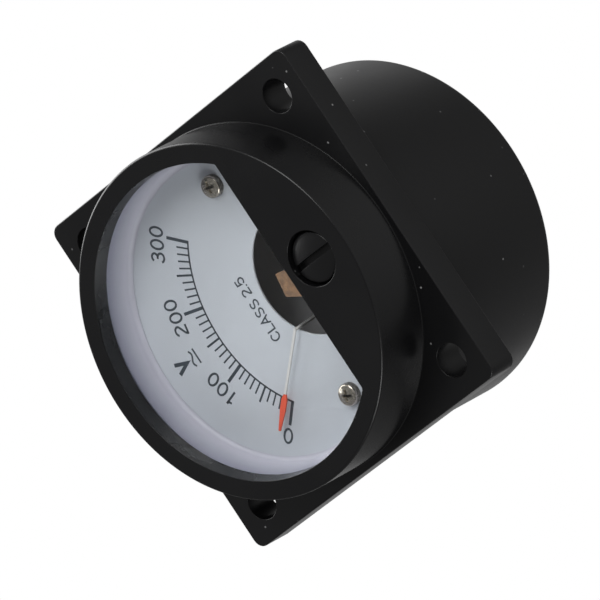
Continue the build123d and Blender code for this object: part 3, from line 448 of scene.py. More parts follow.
def clear_window():
    """Clear acrylic that lets lamps through to the dial, with faint handling haze."""
    s = Surface("window_acrylic", (0.985, 0.99, 0.995), 0.02, Transmission_Weight=1.0, IOR=1.45)
    haze = s.noise(7.0, 4.0)
    s.set("Roughness", s.remap(haze, 0.45, 0.8, 0.0, 0.03))
    path = s.nodes.new("ShaderNodeLightPath")
    clear = s.nodes.new("ShaderNodeBsdfTransparent")
    clear.inputs["Color"].default_value = (0.97, 0.975, 0.98, 1.0)
    both = s.nodes.new("ShaderNodeMixShader")
    s.links.new(path.outputs["Is Shadow Ray"], both.inputs["Fac"])
    s.links.new(s.shader.outputs["BSDF"], both.inputs[1])
    s.links.new(clear.outputs["BSDF"], both.inputs[2])
    s.links.new(both.outputs["Shader"], s.nodes["Material Output"].inputs["Surface"])
    return s.material


def wound_copper():
    """Enamelled copper winding: fine turns seen as ridges across the coil's bars."""
    s = Surface("coil_copper", (0.55, 0.20, 0.09), 0.28, metallic=1.0, Coat_Weight=0.5)
    wave = s.nodes.new("ShaderNodeTexWave")
    wave.inputs["Scale"].default_value = 1 / (0.5 * MM)
    wave.inputs["Distortion"].default_value = 1.5
    s.links.new(s.where, wave.inputs["Vector"])
    s.bump(wave.outputs["Fac"], 0.03)
    s.set("Base Color", s.mix(wave.outputs["Fac"], (0.42, 0.14, 0.06), (0.62, 0.25, 0.12)))
    return s.material


NICKEL = (0.66, 0.61, 0.52)


def nickel_with_recess_shade():
    """Nickel screw heads, with painted shade that darkens them inside the driver recess."""
    s = Surface("nickel_recess", NICKEL, 0.20, metallic=1.0)
    sunk = s.depth(DIAL_SCREW_FRONT + 0.3, DIAL_SCREW_FRONT + 0.6)
    inner = s.math("MULTIPLY", sunk, s.remap(s.noise(0.5), 0.35, 0.6, 0.7, 1.0))
    # Painted shade: the colour goes nearly black inside the cross recess, mottled by noise.
    s.set("Base Color", s.mix(inner, NICKEL, (0.10, 0.09, 0.08)))
    fine = s.noise(0.3, 3.0)
    s.set("Roughness", s.remap(fine, 0.3, 0.7, 0.10, 0.30))
    s.bump(fine, 0.012)
    return s.material


def pointer_with_painted_shade():
    """Pale strip in front of the dial, with painted shade that darkens its arm where it is behind the dial.
    """
    pale, arm_shade = (0.66, 0.66, 0.64), (0.17, 0.17, 0.165)
    s = Surface("pointer_strip", pale, 0.40)
    behind = s.depth(DIAL_FRONT - 0.5, DIAL_FRONT + 0.5)
    # Painted shade: the arm behind the dial face is coloured dark where shadow falls.
    s.set("Base Color", s.mix(behind, pale, arm_shade))
    s.set("Roughness", s.remap(s.noise(0.4), 0.3, 0.7, 0.34, 0.46))
    return s.material


def laminate(name, light, dark, roughness):
    """Insulating laminate: blotchy resin colour with pale fibre ends."""
    s = Surface(name, light, roughness)
    blotch = s.remap(s.noise(0.8, 4.0), 0.38, 0.62, 0.0, 1.0)
    fibre = s.remap(s.noise(0.16, 2.0, (1, 1, 3)), 0.60, 0.72, 0.0, 0.6)
    pale = tuple(min(1.0, 0.25 + c) for c in light)
    s.set("Base Color", s.mix(fibre, s.mix(blotch, light, dark), pale))
    s.bump(fibre, 0.01)
    return s.material


def surround_with_painted_shade():
    """Pale lavender moulding with painted shade that darkens it from its foot on the dial to its mouth at
    the window.
    """
    mouth, foot = (0.255, 0.26, 0.325), (0.50, 0.50, 0.565)
    s = Surface("surround_white", foot, 0.38)
    height = s.depth(SURROUND_LOW.y, SURROUND_HIGH.y - 1.0)
    cloud = s.remap(s.noise(6.0), 0.3, 0.7, -0.04, 0.04)
    # Painted shade: the colour darkens towards the mouth, in the ring's shadow; the cloud is random tone.
    s.set("Base Color", s.mix(s.math("ADD", height, cloud), mouth, foot))
    s.bump(s.noise(0.4), 0.004)
    return s.material


BLACK = (0.0062, 0.0062, 0.0068)
MATERIALS = {
    "bezel": black_plastic("bezel_black", BLACK, 0.26, 0.30, 0.05),
    "housing": black_plastic("housing_black", BLACK, 0.30, 0.60, 0.45),
    "zero": black_plastic("zero_screw_black", BLACK, 0.30, 0.30, 0.05),
    "window": clear_window(),
    "surround": surround_with_painted_shade(),
    "dial": satin_plastic("dial_paint", (0.565, 0.60, 0.64), 0.42, 0.97, 0.002, 0.25),
    "ink": satin_plastic("dial_ink", (0.045, 0.06, 0.075), 0.5, 0.8, 0.001, 0.2),
    "nickel_recess": nickel_with_recess_shade(),
    "nickel": satin_metal("nickel_plate", NICKEL, 0.20, depth=0.006),
    "zinc": satin_metal("zinc_plate", (0.62, 0.62, 0.60), 0.30),
    "brass": satin_metal("brass_bar", (0.72, 0.52, 0.24), 0.28),
    "iron": satin_metal("soft_iron", (0.30, 0.30, 0.31), 0.42),
    "magnet": satin_metal("magnet_alloy", (0.24, 0.24, 0.25), 0.50, 0.6, 0.1, 0.01),
    "aluminium": satin_metal("aluminium_sheet", (0.74, 0.74, 0.75), 0.32),
    "pointer": pointer_with_painted_shade(),
    "bronze": satin_metal("spring_bronze", (0.62, 0.38, 0.18), 0.26),
    "lever": laminate("lever_laminate", (0.33, 0.19, 0.10), (0.20, 0.12, 0.07), 0.45),
    "copper": wound_copper(),
    "jewel": satin_plastic("jewel_ruby", (0.45, 0.02, 0.06), 0.08, 0.9),
    "base": satin_plastic("base_grey", (0.55, 0.55, 0.56), 0.50, 0.9, 0.01),
    "board": satin_plastic("board_laminate", (0.36, 0.24, 0.09), 0.38, 0.85),
    "resistor": satin_plastic("resistor_ceramic", (0.25, 0.36, 0.40), 0.55, 0.9),
    "diode": satin_plastic("diode_epoxy", (0.02, 0.02, 0.02), 0.40, 0.8),
    "red": satin_plastic("lead_red", (0.50, 0.02, 0.02), 0.42, 0.85),
    "black": satin_plastic("lead_black", (0.02, 0.02, 0.02), 0.42, 0.85),
    "tip": satin_plastic("tip_orange", (0.80, 0.10, 0.045), 0.45, 0.92),
}

NODE_MATERIALS = {
    "dial_pillars": "brass",
    "movement_base": "base",
    "base_screws": "zinc",
    "yoke_ring": "iron",
    "core_magnet": "magnet",
    "front_bridge": "brass",
    "rear_bridge": "brass",
    "bridge_screws": "zinc",
    "jewel_screws": "brass",
    "jewel_bearings": "jewel",
    "jewel_locknuts": "brass",
    "pointer_stops": "brass",
    "circuit_board": "board",
    "series_resistor": "resistor",
    "rectifier_diodes": "diode",
    "front_lead": "red",
    "rear_lead": "black",
    "rear_spring_stud": "brass",
    "terminal_spacers": "brass",
    "clamp_washers": "nickel",
    "clamp_nuts": "nickel",
    "solder_lugs": "nickel",
    "spring_washers": "zinc",
    "terminal_nuts": "nickel",
    "terminal_studs": "brass",
    "coil_former": "aluminium",
    "coil_winding": "copper",
    "pivot_hubs": "brass",
    "pivot_pins": "zinc",
    "pointer": "pointer",
    "pointer_tip": "tip",
    "balance_cross": "aluminium",
    "balance_weights": "brass",
    "front_hairspring": "bronze",
    "rear_hairspring": "bronze",
    "zero_lever": "lever",
    "front_spring_stud": "brass",
    "zero_screw_clip": "zinc",
}
for node, key in NODE_MATERIALS.items():
    for material_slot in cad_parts[node].material_slots:
        material_slot.material = MATERIALS[key]


# ---------------------------------------------------------------- case
def bolt_hole(shell, x, z):
    """One flange hole with eased edges; returns its front and rear rings."""
    bore = lip(FLANGE_FRONT, HOLE_ROUND, -1, 1) + lip(0.0, HOLE_ROUND, -1, -1)[::-1]
    return shell.wall(lambda grow: circle(x, z, HOLE_RADIUS + grow, COARSE), bore)


def terminal_pad(shell, x, z):
    """Raised pad with its stud hole; returns the ring at its foot and the hole's inner ring."""
    pad = shell.wall(
        lambda grow: circle(x, z, PAD_RADIUS + grow, MEDIUM),
        [(0, BODY_REAR)] + lip(PAD_REAR, PAD_ROUND, 1, -1)[::-1],
    )
    hole = shell.wall(
        lambda grow: circle(x, z, STUD_HOLE_RADIUS + grow, COARSE), [(0, PAD_REAR), (0, CAVITY_REAR)]
    )
    shell.face(pad[1], hole[0])
    return pad[0], hole[1]


def screw_boss(shell, x, z):
    """Boss with a blind pilot hole for a base screw; returns the ring at its foot."""
    boss = shell.wall(
        lambda grow: circle(x, z, BOSS_RADIUS + grow, COARSE), [(0, CAVITY_REAR), (0, BOSS_FRONT)]
    )
    pilot = shell.wall(
        lambda grow: circle(x, z, PILOT_RADIUS + grow, COARSE), [(0, BOSS_FRONT), (0, PILOT_REAR)]
    )
    shell.face(boss[1], pilot[0])
    shell.bm.faces.new(pilot[1])
    return boss[0]


def make_housing():
    """Square flange with four holes and the round can behind it, hollow, with its bosses."""
    shell = Shell()
    sides = lip(FLANGE_FRONT, FLANGE_ROUND, 1, 1) + lip(0.0, FLANGE_ROUND, 1, -1)[::-1]
    rim = shell.wall(lambda grow: round_square(FLANGE_HALF + grow, FLANGE_CORNER + grow), sides)
    fronts, backs = [rim[0]], [rim[1]]
    for x in (-HOLE_PLACE, HOLE_PLACE):
        for z in (-HOLE_PLACE, HOLE_PLACE):
            hole = bolt_hole(shell, x, z)
            fronts.append(hole[0])
            backs.append(hole[1])
    seat = SPIGOT_SEAT_RADIUS - CAVITY_RADIUS
    cavity = shell.wall(
        lambda grow: circle(0, 0, CAVITY_RADIUS + grow, FINE),
        [(seat, FLANGE_FRONT), (seat, SPIGOT_SEAT_REAR), (0, SPIGOT_SEAT_REAR), (0, CAVITY_REAR)],
    )
    can = shell.wall(
        lambda grow: circle(0, 0, BODY_RADIUS + grow, FINE),
        [(0, 0.0)] + lip(BODY_REAR, BODY_ROUND, 1, -1)[::-1],
    )
    shell.face(*fronts, cavity[0])
    shell.face(*backs, can[0])
    pads = [terminal_pad(shell, x, z) for x, z in TERMINAL_PLACES]
    shell.face(can[1], *[foot for foot, hole in pads])
    bosses = [screw_boss(shell, x, z) for x, z in BOSS_PLACES]
    shell.face(cavity[1], *[hole for foot, hole in pads], *bosses)
    place(shell.mesh("housing_shell"), "housing_shell", "meter_case", MATERIALS["housing"],
          "rear_housing")


def cover_step_outline():
    """The half-moon cover's thicker rear layer, which starts just below the window."""
    lean = math.asin(COVER_STEP_Z / COVER_RADIUS)
    return arc(0, 0, COVER_RADIUS, -math.pi - lean, lean, MEDIUM)


def make_bezel():
    """Raised ring with the half-moon cover across its foot and the zero adjuster's well."""
    shell = Shell()
    ring = shell.wall(
        lambda grow: circle(0, 0, RING_RADIUS + grow, FINE),
        lip(RING_FRONT, RING_ROUND, 1, 1)
        + [
            (0, FLANGE_FRONT - FOOT_BEAD),
            (FOOT_BEAD_OUT * FOOT_BEAD, FLANGE_FRONT - FOOT_BEAD_UP * FOOT_BEAD),
            (FOOT_BEAD, FLANGE_FRONT - FOOT_BEAD_EDGE),
            (FOOT_BEAD, FLANGE_FRONT),
            (-SPIGOT_INSET, FLANGE_FRONT),
            (-SPIGOT_INSET, SPIGOT_REAR),
            (-BORE_INSET, SPIGOT_REAR),
            (-BORE_INSET, SHELF_Y),
        ],
    )
    sight = shell.wall(sight_outline, lip(RING_FRONT, SIGHT_ROUND, -1, 1))
    shelf_edge = shell.ring(sight_outline(0, SIGHT_FLARE), SHELF_Y)
    shell.bridge(sight[1], shelf_edge)
    shank = SHANK_HOLE_RADIUS - WELL_RADIUS
    well = shell.wall(
        lambda grow: circle(0, ZERO_Z, WELL_RADIUS + grow, MEDIUM),
        lip(RING_FRONT, WELL_ROUND, -1, 1) + [(0, WELL_FLOOR), (shank, WELL_FLOOR), (shank, COVER_REAR)],
    )
    step = shell.wall(lambda grow: cover_step_outline(), [(0, SHELF_Y), (0, COVER_REAR)])
    shell.face(ring[0], sight[0], well[0])
    shell.face(ring[1], shelf_edge, step[0])
    shell.face(step[1], well[1])
    place(shell.mesh("bezel_shell"), "bezel_shell", "meter_case", MATERIALS["bezel"],
          "front_bezel")


def segment_outline(radius, foot_z, count):
    """Circle cut off straight below foot_z."""
    lean = math.asin(foot_z / radius)
    return arc(0, 0, radius, lean, math.pi - lean, count)


WINDOW_EASE = 0.1


def make_window():
    """Clear plate behind the ring, cut off under the half-moon cover."""
    shell = Shell()
    pane = shell.wall(
        lambda grow: segment_outline(WINDOW_HIGH.x + grow, WINDOW_LOW.z - grow, FINE),
        [
            (-WINDOW_EASE, WINDOW_LOW.y),
            (0, WINDOW_LOW.y + WINDOW_EASE),
            (0, WINDOW_HIGH.y - WINDOW_EASE),
            (-WINDOW_EASE, WINDOW_HIGH.y),
        ],
    )
    shell.face(pane[0])
    shell.face(pane[1])
    place(shell.mesh("window_pane"), "window_pane", "meter_case", MATERIALS["window"],
          "window")


SURROUND_MOUTH = 22.6
SURROUND_WAIST = 21.75
SURROUND_RADIUS = 21.1
SURROUND_LEDGE = 0.8
SURROUND_LIP = 0.12
SURROUND_EDGE = 0.1
SURROUND_FOOT = [(0.04, -0.02), (0.06, 0.0)]
LEAN_STEPS = 5
CURVE_STEPS = 8


def make_surround():
    """Pale leaning ring between the window and the dial, curving inwards at its foot."""
    front, rear = SURROUND_LOW.y, SURROUND_HIGH.y
    steps = [(SURROUND_HIGH.x, rear), (SURROUND_HIGH.x, front), (SURROUND_MOUTH, front)]
    lean_front = front + SURROUND_EDGE
    lean_length = rear - SURROUND_LEDGE - lean_front
    for k in range(LEAN_STEPS):
        share = k / LEAN_STEPS
        radius = SURROUND_MOUTH + (SURROUND_WAIST - SURROUND_MOUTH) * share
        steps.append((radius, lean_front + lean_length * share))
    reach, rise = SURROUND_WAIST - SURROUND_RADIUS, SURROUND_LEDGE - SURROUND_LIP
    for k in range(CURVE_STEPS + 1):
        a = math.pi / 2 * k / CURVE_STEPS
        radius = SURROUND_WAIST - reach * (1 - math.cos(a))
        steps.append((radius, rear - SURROUND_LEDGE + rise * math.sin(a)))
    steps += [(SURROUND_RADIUS + out, rear + back) for out, back in SURROUND_FOOT]
    shell = Shell()
    first, last = shell.wall(lambda r: circle(0, 0, r, FINE), steps)
    shell.face(first, last)
    place(shell.mesh("surround_ring"), "surround_ring", "meter_case", MATERIALS["surround"],
          "dial_surround", sharp=50)


# ---------------------------------------------------------------- dial and its print
def dial_outline(grow):
    """Dial plate: a circle cut off at its foot, with the round notch over the movement."""
    radius = DIAL_RADIUS + grow
    foot = DIAL_FOOT_Z - grow
    notch = NOTCH_RADIUS - grow
    lean = math.asin(foot / radius)
    rise = foot - PIVOT_Z
    half = math.atan2(rise, math.sqrt(notch**2 - rise**2))
    points = arc(0, 0, radius, lean, math.pi - lean, FINE)
    points += arc(0, PIVOT_Z, notch, math.pi - half, half, MEDIUM)
    return points


def make_dial():
    """Painted metal scale plate with its two screw holes."""
    shell = Shell()
    plate = shell.wall(
        dial_outline,
        [
            (-DIAL_EASE, DIAL_FRONT),
            (0, DIAL_FRONT + DIAL_EASE),
            (0, DIAL_REAR - DIAL_EASE),
            (-DIAL_EASE, DIAL_REAR),
        ],
    )
    fronts, backs = [plate[0]], [plate[1]]
    for x in (-DIAL_SCREW_X, DIAL_SCREW_X):
        hole = shell.wall(
            lambda grow: circle(x, DIAL_SCREW_Z, DIAL_SCREW_HOLE + grow, COARSE),
            [(0, DIAL_FRONT), (0, DIAL_REAR)],
        )
        fronts.append(hole[0])
        backs.append(hole[1])
    shell.face(*fronts)
    shell.face(*backs)
    place(shell.mesh("dial_face"), "dial_face", "meter_case", MATERIALS["dial"],
          "dial_plate")


INK_THICKNESS = 0.015
SCALE_SWEEP = 80.7
SCALE_VOLTS = 300
SCALE_STEP = 10
SCALE_MIDDLE = 50
SCALE_MAJOR = 100
ARC_RADIUS = 19.65
ARC_WIDTH = 0.26
TICK_INSET = 0.02
MAJOR_END = 23.35
MIDDLE_END = 22.45
MINOR_END = 21.75
MAJOR_WIDTH = 0.46
MIDDLE_WIDTH = 0.30
MINOR_WIDTH = 0.24


def scale_angle(volts):
    """Angle of a reading from straight up, in radians, clockwise from the front."""
    return math.radians(SCALE_SWEEP * (volts / SCALE_VOLTS - 0.5))


def polar(radius, angle):
    """Point at a radius from the pivot and an angle from straight up."""
    return (radius * math.sin(angle), PIVOT_Z + radius * math.cos(angle))


def ink_shape(bm, outline):
    """A printed patch: a thin closed solid standing on the dial's face."""
    rings = []
    for y in (DIAL_FRONT, DIAL_FRONT - INK_THICKNESS):
        rings.append([bm.verts.new((x * MM, y * MM, z * MM)) for x, z in outline])
    count = len(outline)
    for k in range(count):
        n = (k + 1) % count
        bm.faces.new((rings[0][k], rings[0][n], rings[1][n], rings[1][k]))
    bm.faces.new(rings[0])
    bm.faces.new(rings[1])


def ink_stroke(bm, inner, outer, angle, width):
    """Radial tick between two radii."""
    across = Vector((math.cos(angle), -math.sin(angle))) * width / 2
    near, far = Vector(polar(inner, angle)), Vector(polar(outer, angle))
    ink_shape(bm, [near - across, near + across, far + across, far - across])


def make_scale():
    """Arc and ticks: long and thick every 100, middle every 50, short every 10 volts."""
    bm = bmesh.new()
    edge = MAJOR_WIDTH / 2 / ARC_RADIUS
    start, end = scale_angle(0) - edge, scale_angle(SCALE_VOLTS) + edge
    turns = [start + (end - start) * k / MEDIUM for k in range(MEDIUM + 1)]
    for first, second in zip(turns, turns[1:]):
        inner, outer = ARC_RADIUS, ARC_RADIUS + ARC_WIDTH
        ink_shape(bm, [polar(inner, first), polar(outer, first), polar(outer, second), polar(inner, second)])
    for volts in range(0, SCALE_VOLTS + 1, SCALE_STEP):
        end, width = MINOR_END, MINOR_WIDTH
        if volts % SCALE_MAJOR == 0:
            end, width = MAJOR_END, MAJOR_WIDTH
        elif volts % SCALE_MIDDLE == 0:
            end, width = MIDDLE_END, MIDDLE_WIDTH
        ink_stroke(bm, ARC_RADIUS + TICK_INSET, end, scale_angle(volts), width)
    printed("scale_print", bm)


def printed(name, bm):
    """Finishes one print layer on the dial."""
    bmesh.ops.recalc_face_normals(bm, faces=bm.faces)
    made = bpy.data.meshes.new(name)
    bm.to_mesh(made)
    bm.free()
    place(made, name, "meter_case", MATERIALS["ink"])


def oval(x, y, across, high, start, end, count=20):
    """Points along an upright oval between two angles in degrees."""
    turns = [math.radians(start + (end - start) * k / count) for k in range(count + 1)]
    return [(x + across * math.cos(t), y + high * math.sin(t)) for t in turns]


# Plain sans-serif characters as pen strokes, one unit high.
GLYPHS = {
    "0": [oval(0, 0.5, 0.27, 0.44, 0, 360, 36)],
    "1": [[(-0.17, 0.75), (-0.04, 0.78), (0.04, 0.85), (0.08, 0.97)], [(0.08, 1.0), (0.08, 0.0)]],
    "2": [
        oval(0, 0.71, 0.26, 0.23, 165, -30) + [(-0.2, 0.22), (-0.27, 0.06)],
        [(-0.32, 0.06), (0.29, 0.06)],
    ],
    "3": [
        oval(-0.01, 0.735, 0.23, 0.205, 160, -90) + [(-0.09, 0.53)],
        [(-0.09, 0.53)] + oval(0, 0.295, 0.27, 0.235, 90, -165),
    ],
    "5": [[(0.25, 0.94), (-0.18, 0.94), (-0.24, 0.48)] + oval(0, 0.34, 0.27, 0.28, 135, -155)],
    "V": [[(-0.32, 1.0), (0.0, 0.06), (0.32, 1.0)]],
    "C": [oval(0, 0.5, 0.33, 0.44, 38, 322, 30)],
    "L": [[(-0.22, 1.0), (-0.22, 0.06), (0.26, 0.06)]],
    "A": [[(-0.33, 0.0), (0.0, 0.94), (0.33, 0.0)], [(-0.2, 0.32), (0.2, 0.32)]],
    "S": [oval(0, 0.73, 0.25, 0.21, 25, 270) + oval(0, 0.28, 0.28, 0.22, 88, -158)],
    ".": [[(0.0, 0.0), (0.0, 0.14)]],
}


def pen_stroke(bm, points, width):
    """Printed ribbon along a line of (x, z) points."""
    line = [Vector(point) for point in points]
    sides = []
    for k, here in enumerate(line):
        before = line[max(k - 1, 0)]
        after = line[min(k + 1, len(line) - 1)]
        arrive = (here - before).normalized() if k else (after - here).normalized()
        leave = (after - here).normalized() if after != here else arrive
        along = (arrive + leave).normalized()
        reach = width / 2 / max(along.dot(leave), 0.35)
        across = Vector((-along.y, along.x)) * reach
        sides.append((here + across, here - across))
    for (left, right), (next_left, next_right) in zip(sides, sides[1:]):
        ink_shape(bm, [left, right, next_right, next_left])


LETTER_WEIGHT = 0.14
LETTER_ADVANCE = 0.79


def lettering(bm, text, height, radius, angle, weight=LETTER_WEIGHT):
    """Text whose middle is at a radius and angle from the pivot, with its foot to the pivot."""
    middle = Vector(polar(radius, math.radians(angle)))
    out = Vector((math.sin(math.radians(angle)), math.cos(math.radians(angle))))
    along = Vector((out.y, -out.x))
    for k, character in enumerate(text):
        shift = (k - (len(text) - 1) / 2) * LETTER_ADVANCE
        for stroke in GLYPHS[character]:
            points = [middle + (along * (x + shift) + out * (y - 0.5)) * height for x, y in stroke]
            pen_stroke(bm, points, weight * height)


NUMERAL_HEIGHT = 2.33
NUMERAL_RADIUS = 25.0
# Numeral angles are from straight up, in degrees; class letters stand on one level line.
NUMERALS = {"0": -40.2, "100": -13.3, "200": 13.3, "300": 37.3}
CLASS_HEIGHT = 1.7
CLASS_RISE = 11.27
CLASS_PLACES = [
    ("C", -4.4),
    ("L", -3.15),
    ("A", -1.93),
    ("S", -0.62),
    ("S", 0.72),
    ("2", 2.6),
    (".", 3.4),
    ("5", 4.28),
]
UNIT_HEIGHT = 2.35
UNIT_WEIGHT = 0.24
UNIT_RADIUS = 28.1
MARK_RADIUS = 25.4
MARK_HALF_WIDTH = 1.15
MARK_GAP = 0.46
MARK_STROKE = 0.28
WAVE_LIFT = 0.28
WAVE_STEPS = 24


def make_numerals():
    """Scale numbers, unit letter and accuracy class, as printed."""
    bm = bmesh.new()
    for text, angle in NUMERALS.items():
        lettering(bm, text, NUMERAL_HEIGHT, NUMERAL_RADIUS, angle)
    lettering(bm, "V", UNIT_HEIGHT, UNIT_RADIUS, 0.0, weight=UNIT_WEIGHT)
    for letter, x in CLASS_PLACES:
        foot = Vector((x, PIVOT_Z + CLASS_RISE - CLASS_HEIGHT / 2))
        for stroke in GLYPHS[letter]:
            points = [foot + Vector(point) * CLASS_HEIGHT for point in stroke]
            pen_stroke(bm, points, LETTER_WEIGHT * CLASS_HEIGHT)
    printed("numeral_print", bm)


def make_current_mark():
    """The sign for direct and alternating current: a wave over a line."""
    bm = bmesh.new()
    middle = PIVOT_Z + MARK_RADIUS
    half = MARK_HALF_WIDTH
    pen_stroke(bm, [(-half, middle - MARK_GAP), (half, middle - MARK_GAP)], MARK_STROKE)
    wave = []
    for k in range(WAVE_STEPS + 1):
        share = k / WAVE_STEPS
        lift = WAVE_LIFT * math.sin(2 * math.pi * share)
        wave.append((-half + 2 * half * share, middle + MARK_GAP + lift))
    pen_stroke(bm, wave, MARK_STROKE)
    printed("current_mark", bm)


# ---------------------------------------------------------------- screws
CROWN_STEPS = 8
CROWN_CENTRE = 0.02


def crowned(radius, front, rear, crown, lip_size=0.25):
    """Lathe steps (radius, y) of a round head: a shallow crown in front, a round edge, a flat rear."""
    made = [(CROWN_CENTRE, front)]
    for k in range(1, CROWN_STEPS + 1):
        share = k / CROWN_STEPS
        made.append(((radius - lip_size) * share, front + crown * share**2))
    for k in range(1, ROUND_STEPS + 1):
        a = math.pi / 2 * k / ROUND_STEPS
        drop = lip_size * (1 - math.cos(a))
        made.append((radius - lip_size + lip_size * math.sin(a), front + crown + drop))
    made.append((radius, rear))
    return made


ZERO_SINK = 0.1
ZERO_FLOOR_GAP = 0.05
ZERO_CROWN = 0.45
ZERO_SHANK_RADIUS = 1.95
ZERO_SHANK_REAR = SHELF_Y + 1.45
ZERO_SLOT_DEPTH = 1.1
ZERO_SLOT_WIDTH = 0.95
ZERO_SLOT_OVERRUN = 2
ZERO_SLOT_EASE = 0.05
ZERO_PIN_RADIUS = 0.45
ZERO_PIN_OFFSET = 1.2
ZERO_PIN_ROOT = 0.2


def make_zero_screw():
    """Slotted adjuster screw in its well, with its shank and eccentric pin."""
    head_radius = ZERO_HIGH.x
    head_front = RING_FRONT + ZERO_SINK
    head_rear = WELL_FLOOR - ZERO_FLOOR_GAP
    shell = Shell()
    steps = crowned(head_radius, head_front, head_rear, ZERO_CROWN)
    steps += [(ZERO_SHANK_RADIUS, head_rear), (ZERO_SHANK_RADIUS, ZERO_SHANK_REAR)]
    shell.lathe(0, ZERO_Z, steps, MEDIUM)
    slot_size = (ZERO_SLOT_WIDTH, 2 * ZERO_SLOT_DEPTH, 2 * head_radius + ZERO_SLOT_OVERRUN)
    slot = block((0, head_front, ZERO_Z), slot_size)
    head = cut(shell.mesh("zero_head"), [slot], ZERO_SLOT_EASE)
    pin = Shell()
    pin_steps = [(ZERO_PIN_RADIUS, ZERO_SHANK_REAR - ZERO_PIN_ROOT), (ZERO_PIN_RADIUS, ZERO_HIGH.y)]
    pin.lathe(0, ZERO_Z - ZERO_PIN_OFFSET, pin_steps, COARSE)
    place(joined([head, pin.mesh("zero_pin")], "zero_screw"), "zero_screw", "zero_screw",
          MATERIALS["zero"], "zero_adjust_screw")


DIAL_SCREW_HEAD = 1.6
DIAL_SCREW_CROWN = 0.25
DIAL_SCREW_LIP = 0.38
DIAL_SCREW_SHANK = 0.95
DIAL_SCREW_TURNS = [(-DIAL_SCREW_X, 0.5), (DIAL_SCREW_X, 0.2)]
CROSS_SIZE = (2.5, 1.5, 0.55)
CROSS_SINK = 0.2
CROSS_TAPER = 0.4
CROSS_EASE = 0.06


def make_dial_screws():
    """Two cross-head screws that hold the dial to its pillars."""
    meshes = []
    for x, turn in DIAL_SCREW_TURNS:
        shell = Shell()
        steps = crowned(DIAL_SCREW_HEAD, DIAL_SCREW_FRONT, DIAL_FRONT, DIAL_SCREW_CROWN, DIAL_SCREW_LIP)
        steps += [(DIAL_SCREW_SHANK, DIAL_FRONT), (DIAL_SCREW_SHANK, DIAL_SCREWS_HIGH.y)]
        shell.lathe(x, DIAL_SCREW_Z, steps, COARSE)
        centre = (x, DIAL_SCREW_FRONT + CROSS_SINK, DIAL_SCREW_Z)
        tools = [
            block(centre, CROSS_SIZE, turn + quarter, CROSS_TAPER) for quarter in (0.0, math.pi / 2)
        ]
        meshes.append(cut(shell.mesh("dial_screw"), tools, CROSS_EASE))
    place(joined(meshes, "dial_screw_pair"), "dial_screw_pair", "meter_case",
          MATERIALS["nickel_recess"], "dial_screws")


# ---------------------------------------------------------------- rear terminals
NUT_HALF = 3.5
NUT_FACE = 3.38
NUT_CORNER = 3.96
NUT_BORE = 1.8
NUT_SINK = 0.25
CHAMFER_SLOPE = 0.577
HEX_POINTS = 72
STUD_RADIUS = 2.0
STUD_CORE = 1.77
STUD_HEAD_FRONT = STUDS_LOW.y
STUD_HEAD_HEIGHT = 2.4
STUD_HEAD_REAR = STUD_HEAD_FRONT + STUD_HEAD_HEIGHT
STUD_END = STUDS_HIGH.y
THREAD_FRONT = 34.85
THREAD_PITCH = 0.7
THREAD_DEPTH = 0.33
THREAD_STEPS = 8
END_CHAMFER = 0.4
WASHER_EASE = 0.12
WELD_DISTANCE = 0.001


def hex_reach(turn):
    """Radius of a nut's hexagon at an angle, its corners eased."""
    side = math.pi / 3
    return min(NUT_HALF / math.cos(turn % side - side / 2), NUT_CORNER)


def hex_wall(shell, x, z, front, rear):
    """Six flats with a round chamfer at each end; returns the two end rings."""
    rings = [shell.ring(circle(x, z, NUT_FACE, HEX_POINTS), front)]
    for base, toward in ((front, 1), (rear, -1)):
        ring = []
        for k in range(HEX_POINTS):
            turn = 2 * math.pi * k / HEX_POINTS
            reach = hex_reach(turn)
            y = base + toward * (reach - NUT_FACE) * CHAMFER_SLOPE
            ring.append(shell.point(x + reach * math.cos(turn), y, z + reach * math.sin(turn)))
        rings.append(ring)
    rings.append(shell.ring(circle(x, z, NUT_FACE, HEX_POINTS), rear))
    for first, second in zip(rings, rings[1:]):
        shell.bridge(first, second)
    return rings[0], rings[-1]


def make_nuts(name, node):
    """Hexagon nuts with chamfered faces and countersunk bores, one on each stud."""
    low, high = cad(node)
    shell = Shell()
    for x, z in TERMINAL_PLACES:
        ends = hex_wall(shell, x, z, low.y, high.y)
        sunk = NUT_BORE + NUT_SINK
        bores = shell.wall(
            lambda r: circle(x, z, r, HEX_POINTS),
            [(sunk, low.y), (NUT_BORE, low.y + NUT_SINK), (NUT_BORE, high.y - NUT_SINK), (sunk, high.y)],
        )
        for end, bore in zip(ends, bores):
            shell.bridge(end, bore)
    place(shell.mesh(name), name, "meter_case", MATERIALS["nickel"], node)


def thread_ring(shell, x, z, y):
    """Ring of the thread's helix at one depth, tapered near the stud's end."""
    ring = []
    for j in range(COARSE):
        turn = 2 * math.pi * j / COARSE
        phase = (y / THREAD_PITCH + j / COARSE) % 1
        reach = STUD_RADIUS - THREAD_DEPTH * abs(2 * phase - 1)
        reach = min(reach, STUD_RADIUS - END_CHAMFER + STUD_END - y)
        ring.append(shell.point(x + reach * math.cos(turn), y, z + reach * math.sin(turn)))
    return ring


def make_studs():
    """Terminal studs: hexagon heads inside, plain where the nuts grip, threaded at the free end."""
    shell = Shell()
    thread_length = STUD_END - THREAD_FRONT
    steps = round(thread_length / THREAD_PITCH * THREAD_STEPS)
    for x, z in TERMINAL_PLACES:
        for end in hex_wall(shell, x, z, STUD_HEAD_FRONT, STUD_HEAD_REAR):
            shell.bm.faces.new(end)
        shell.lathe(x, z, [(STUD_CORE, STUD_HEAD_REAR), (STUD_CORE, THREAD_FRONT)], COARSE)
        depths = [THREAD_FRONT + thread_length * k / steps for k in range(steps + 1)]
        rings = [thread_ring(shell, x, z, y) for y in depths]
        for first, second in zip(rings, rings[1:]):
            shell.bridge(first, second)
        shell.bm.faces.new(rings[0])
        shell.bm.faces.new(rings[-1])
    place(shell.mesh("stud_pair"), "stud_pair", "meter_case", MATERIALS["brass"],
          "terminal_studs")


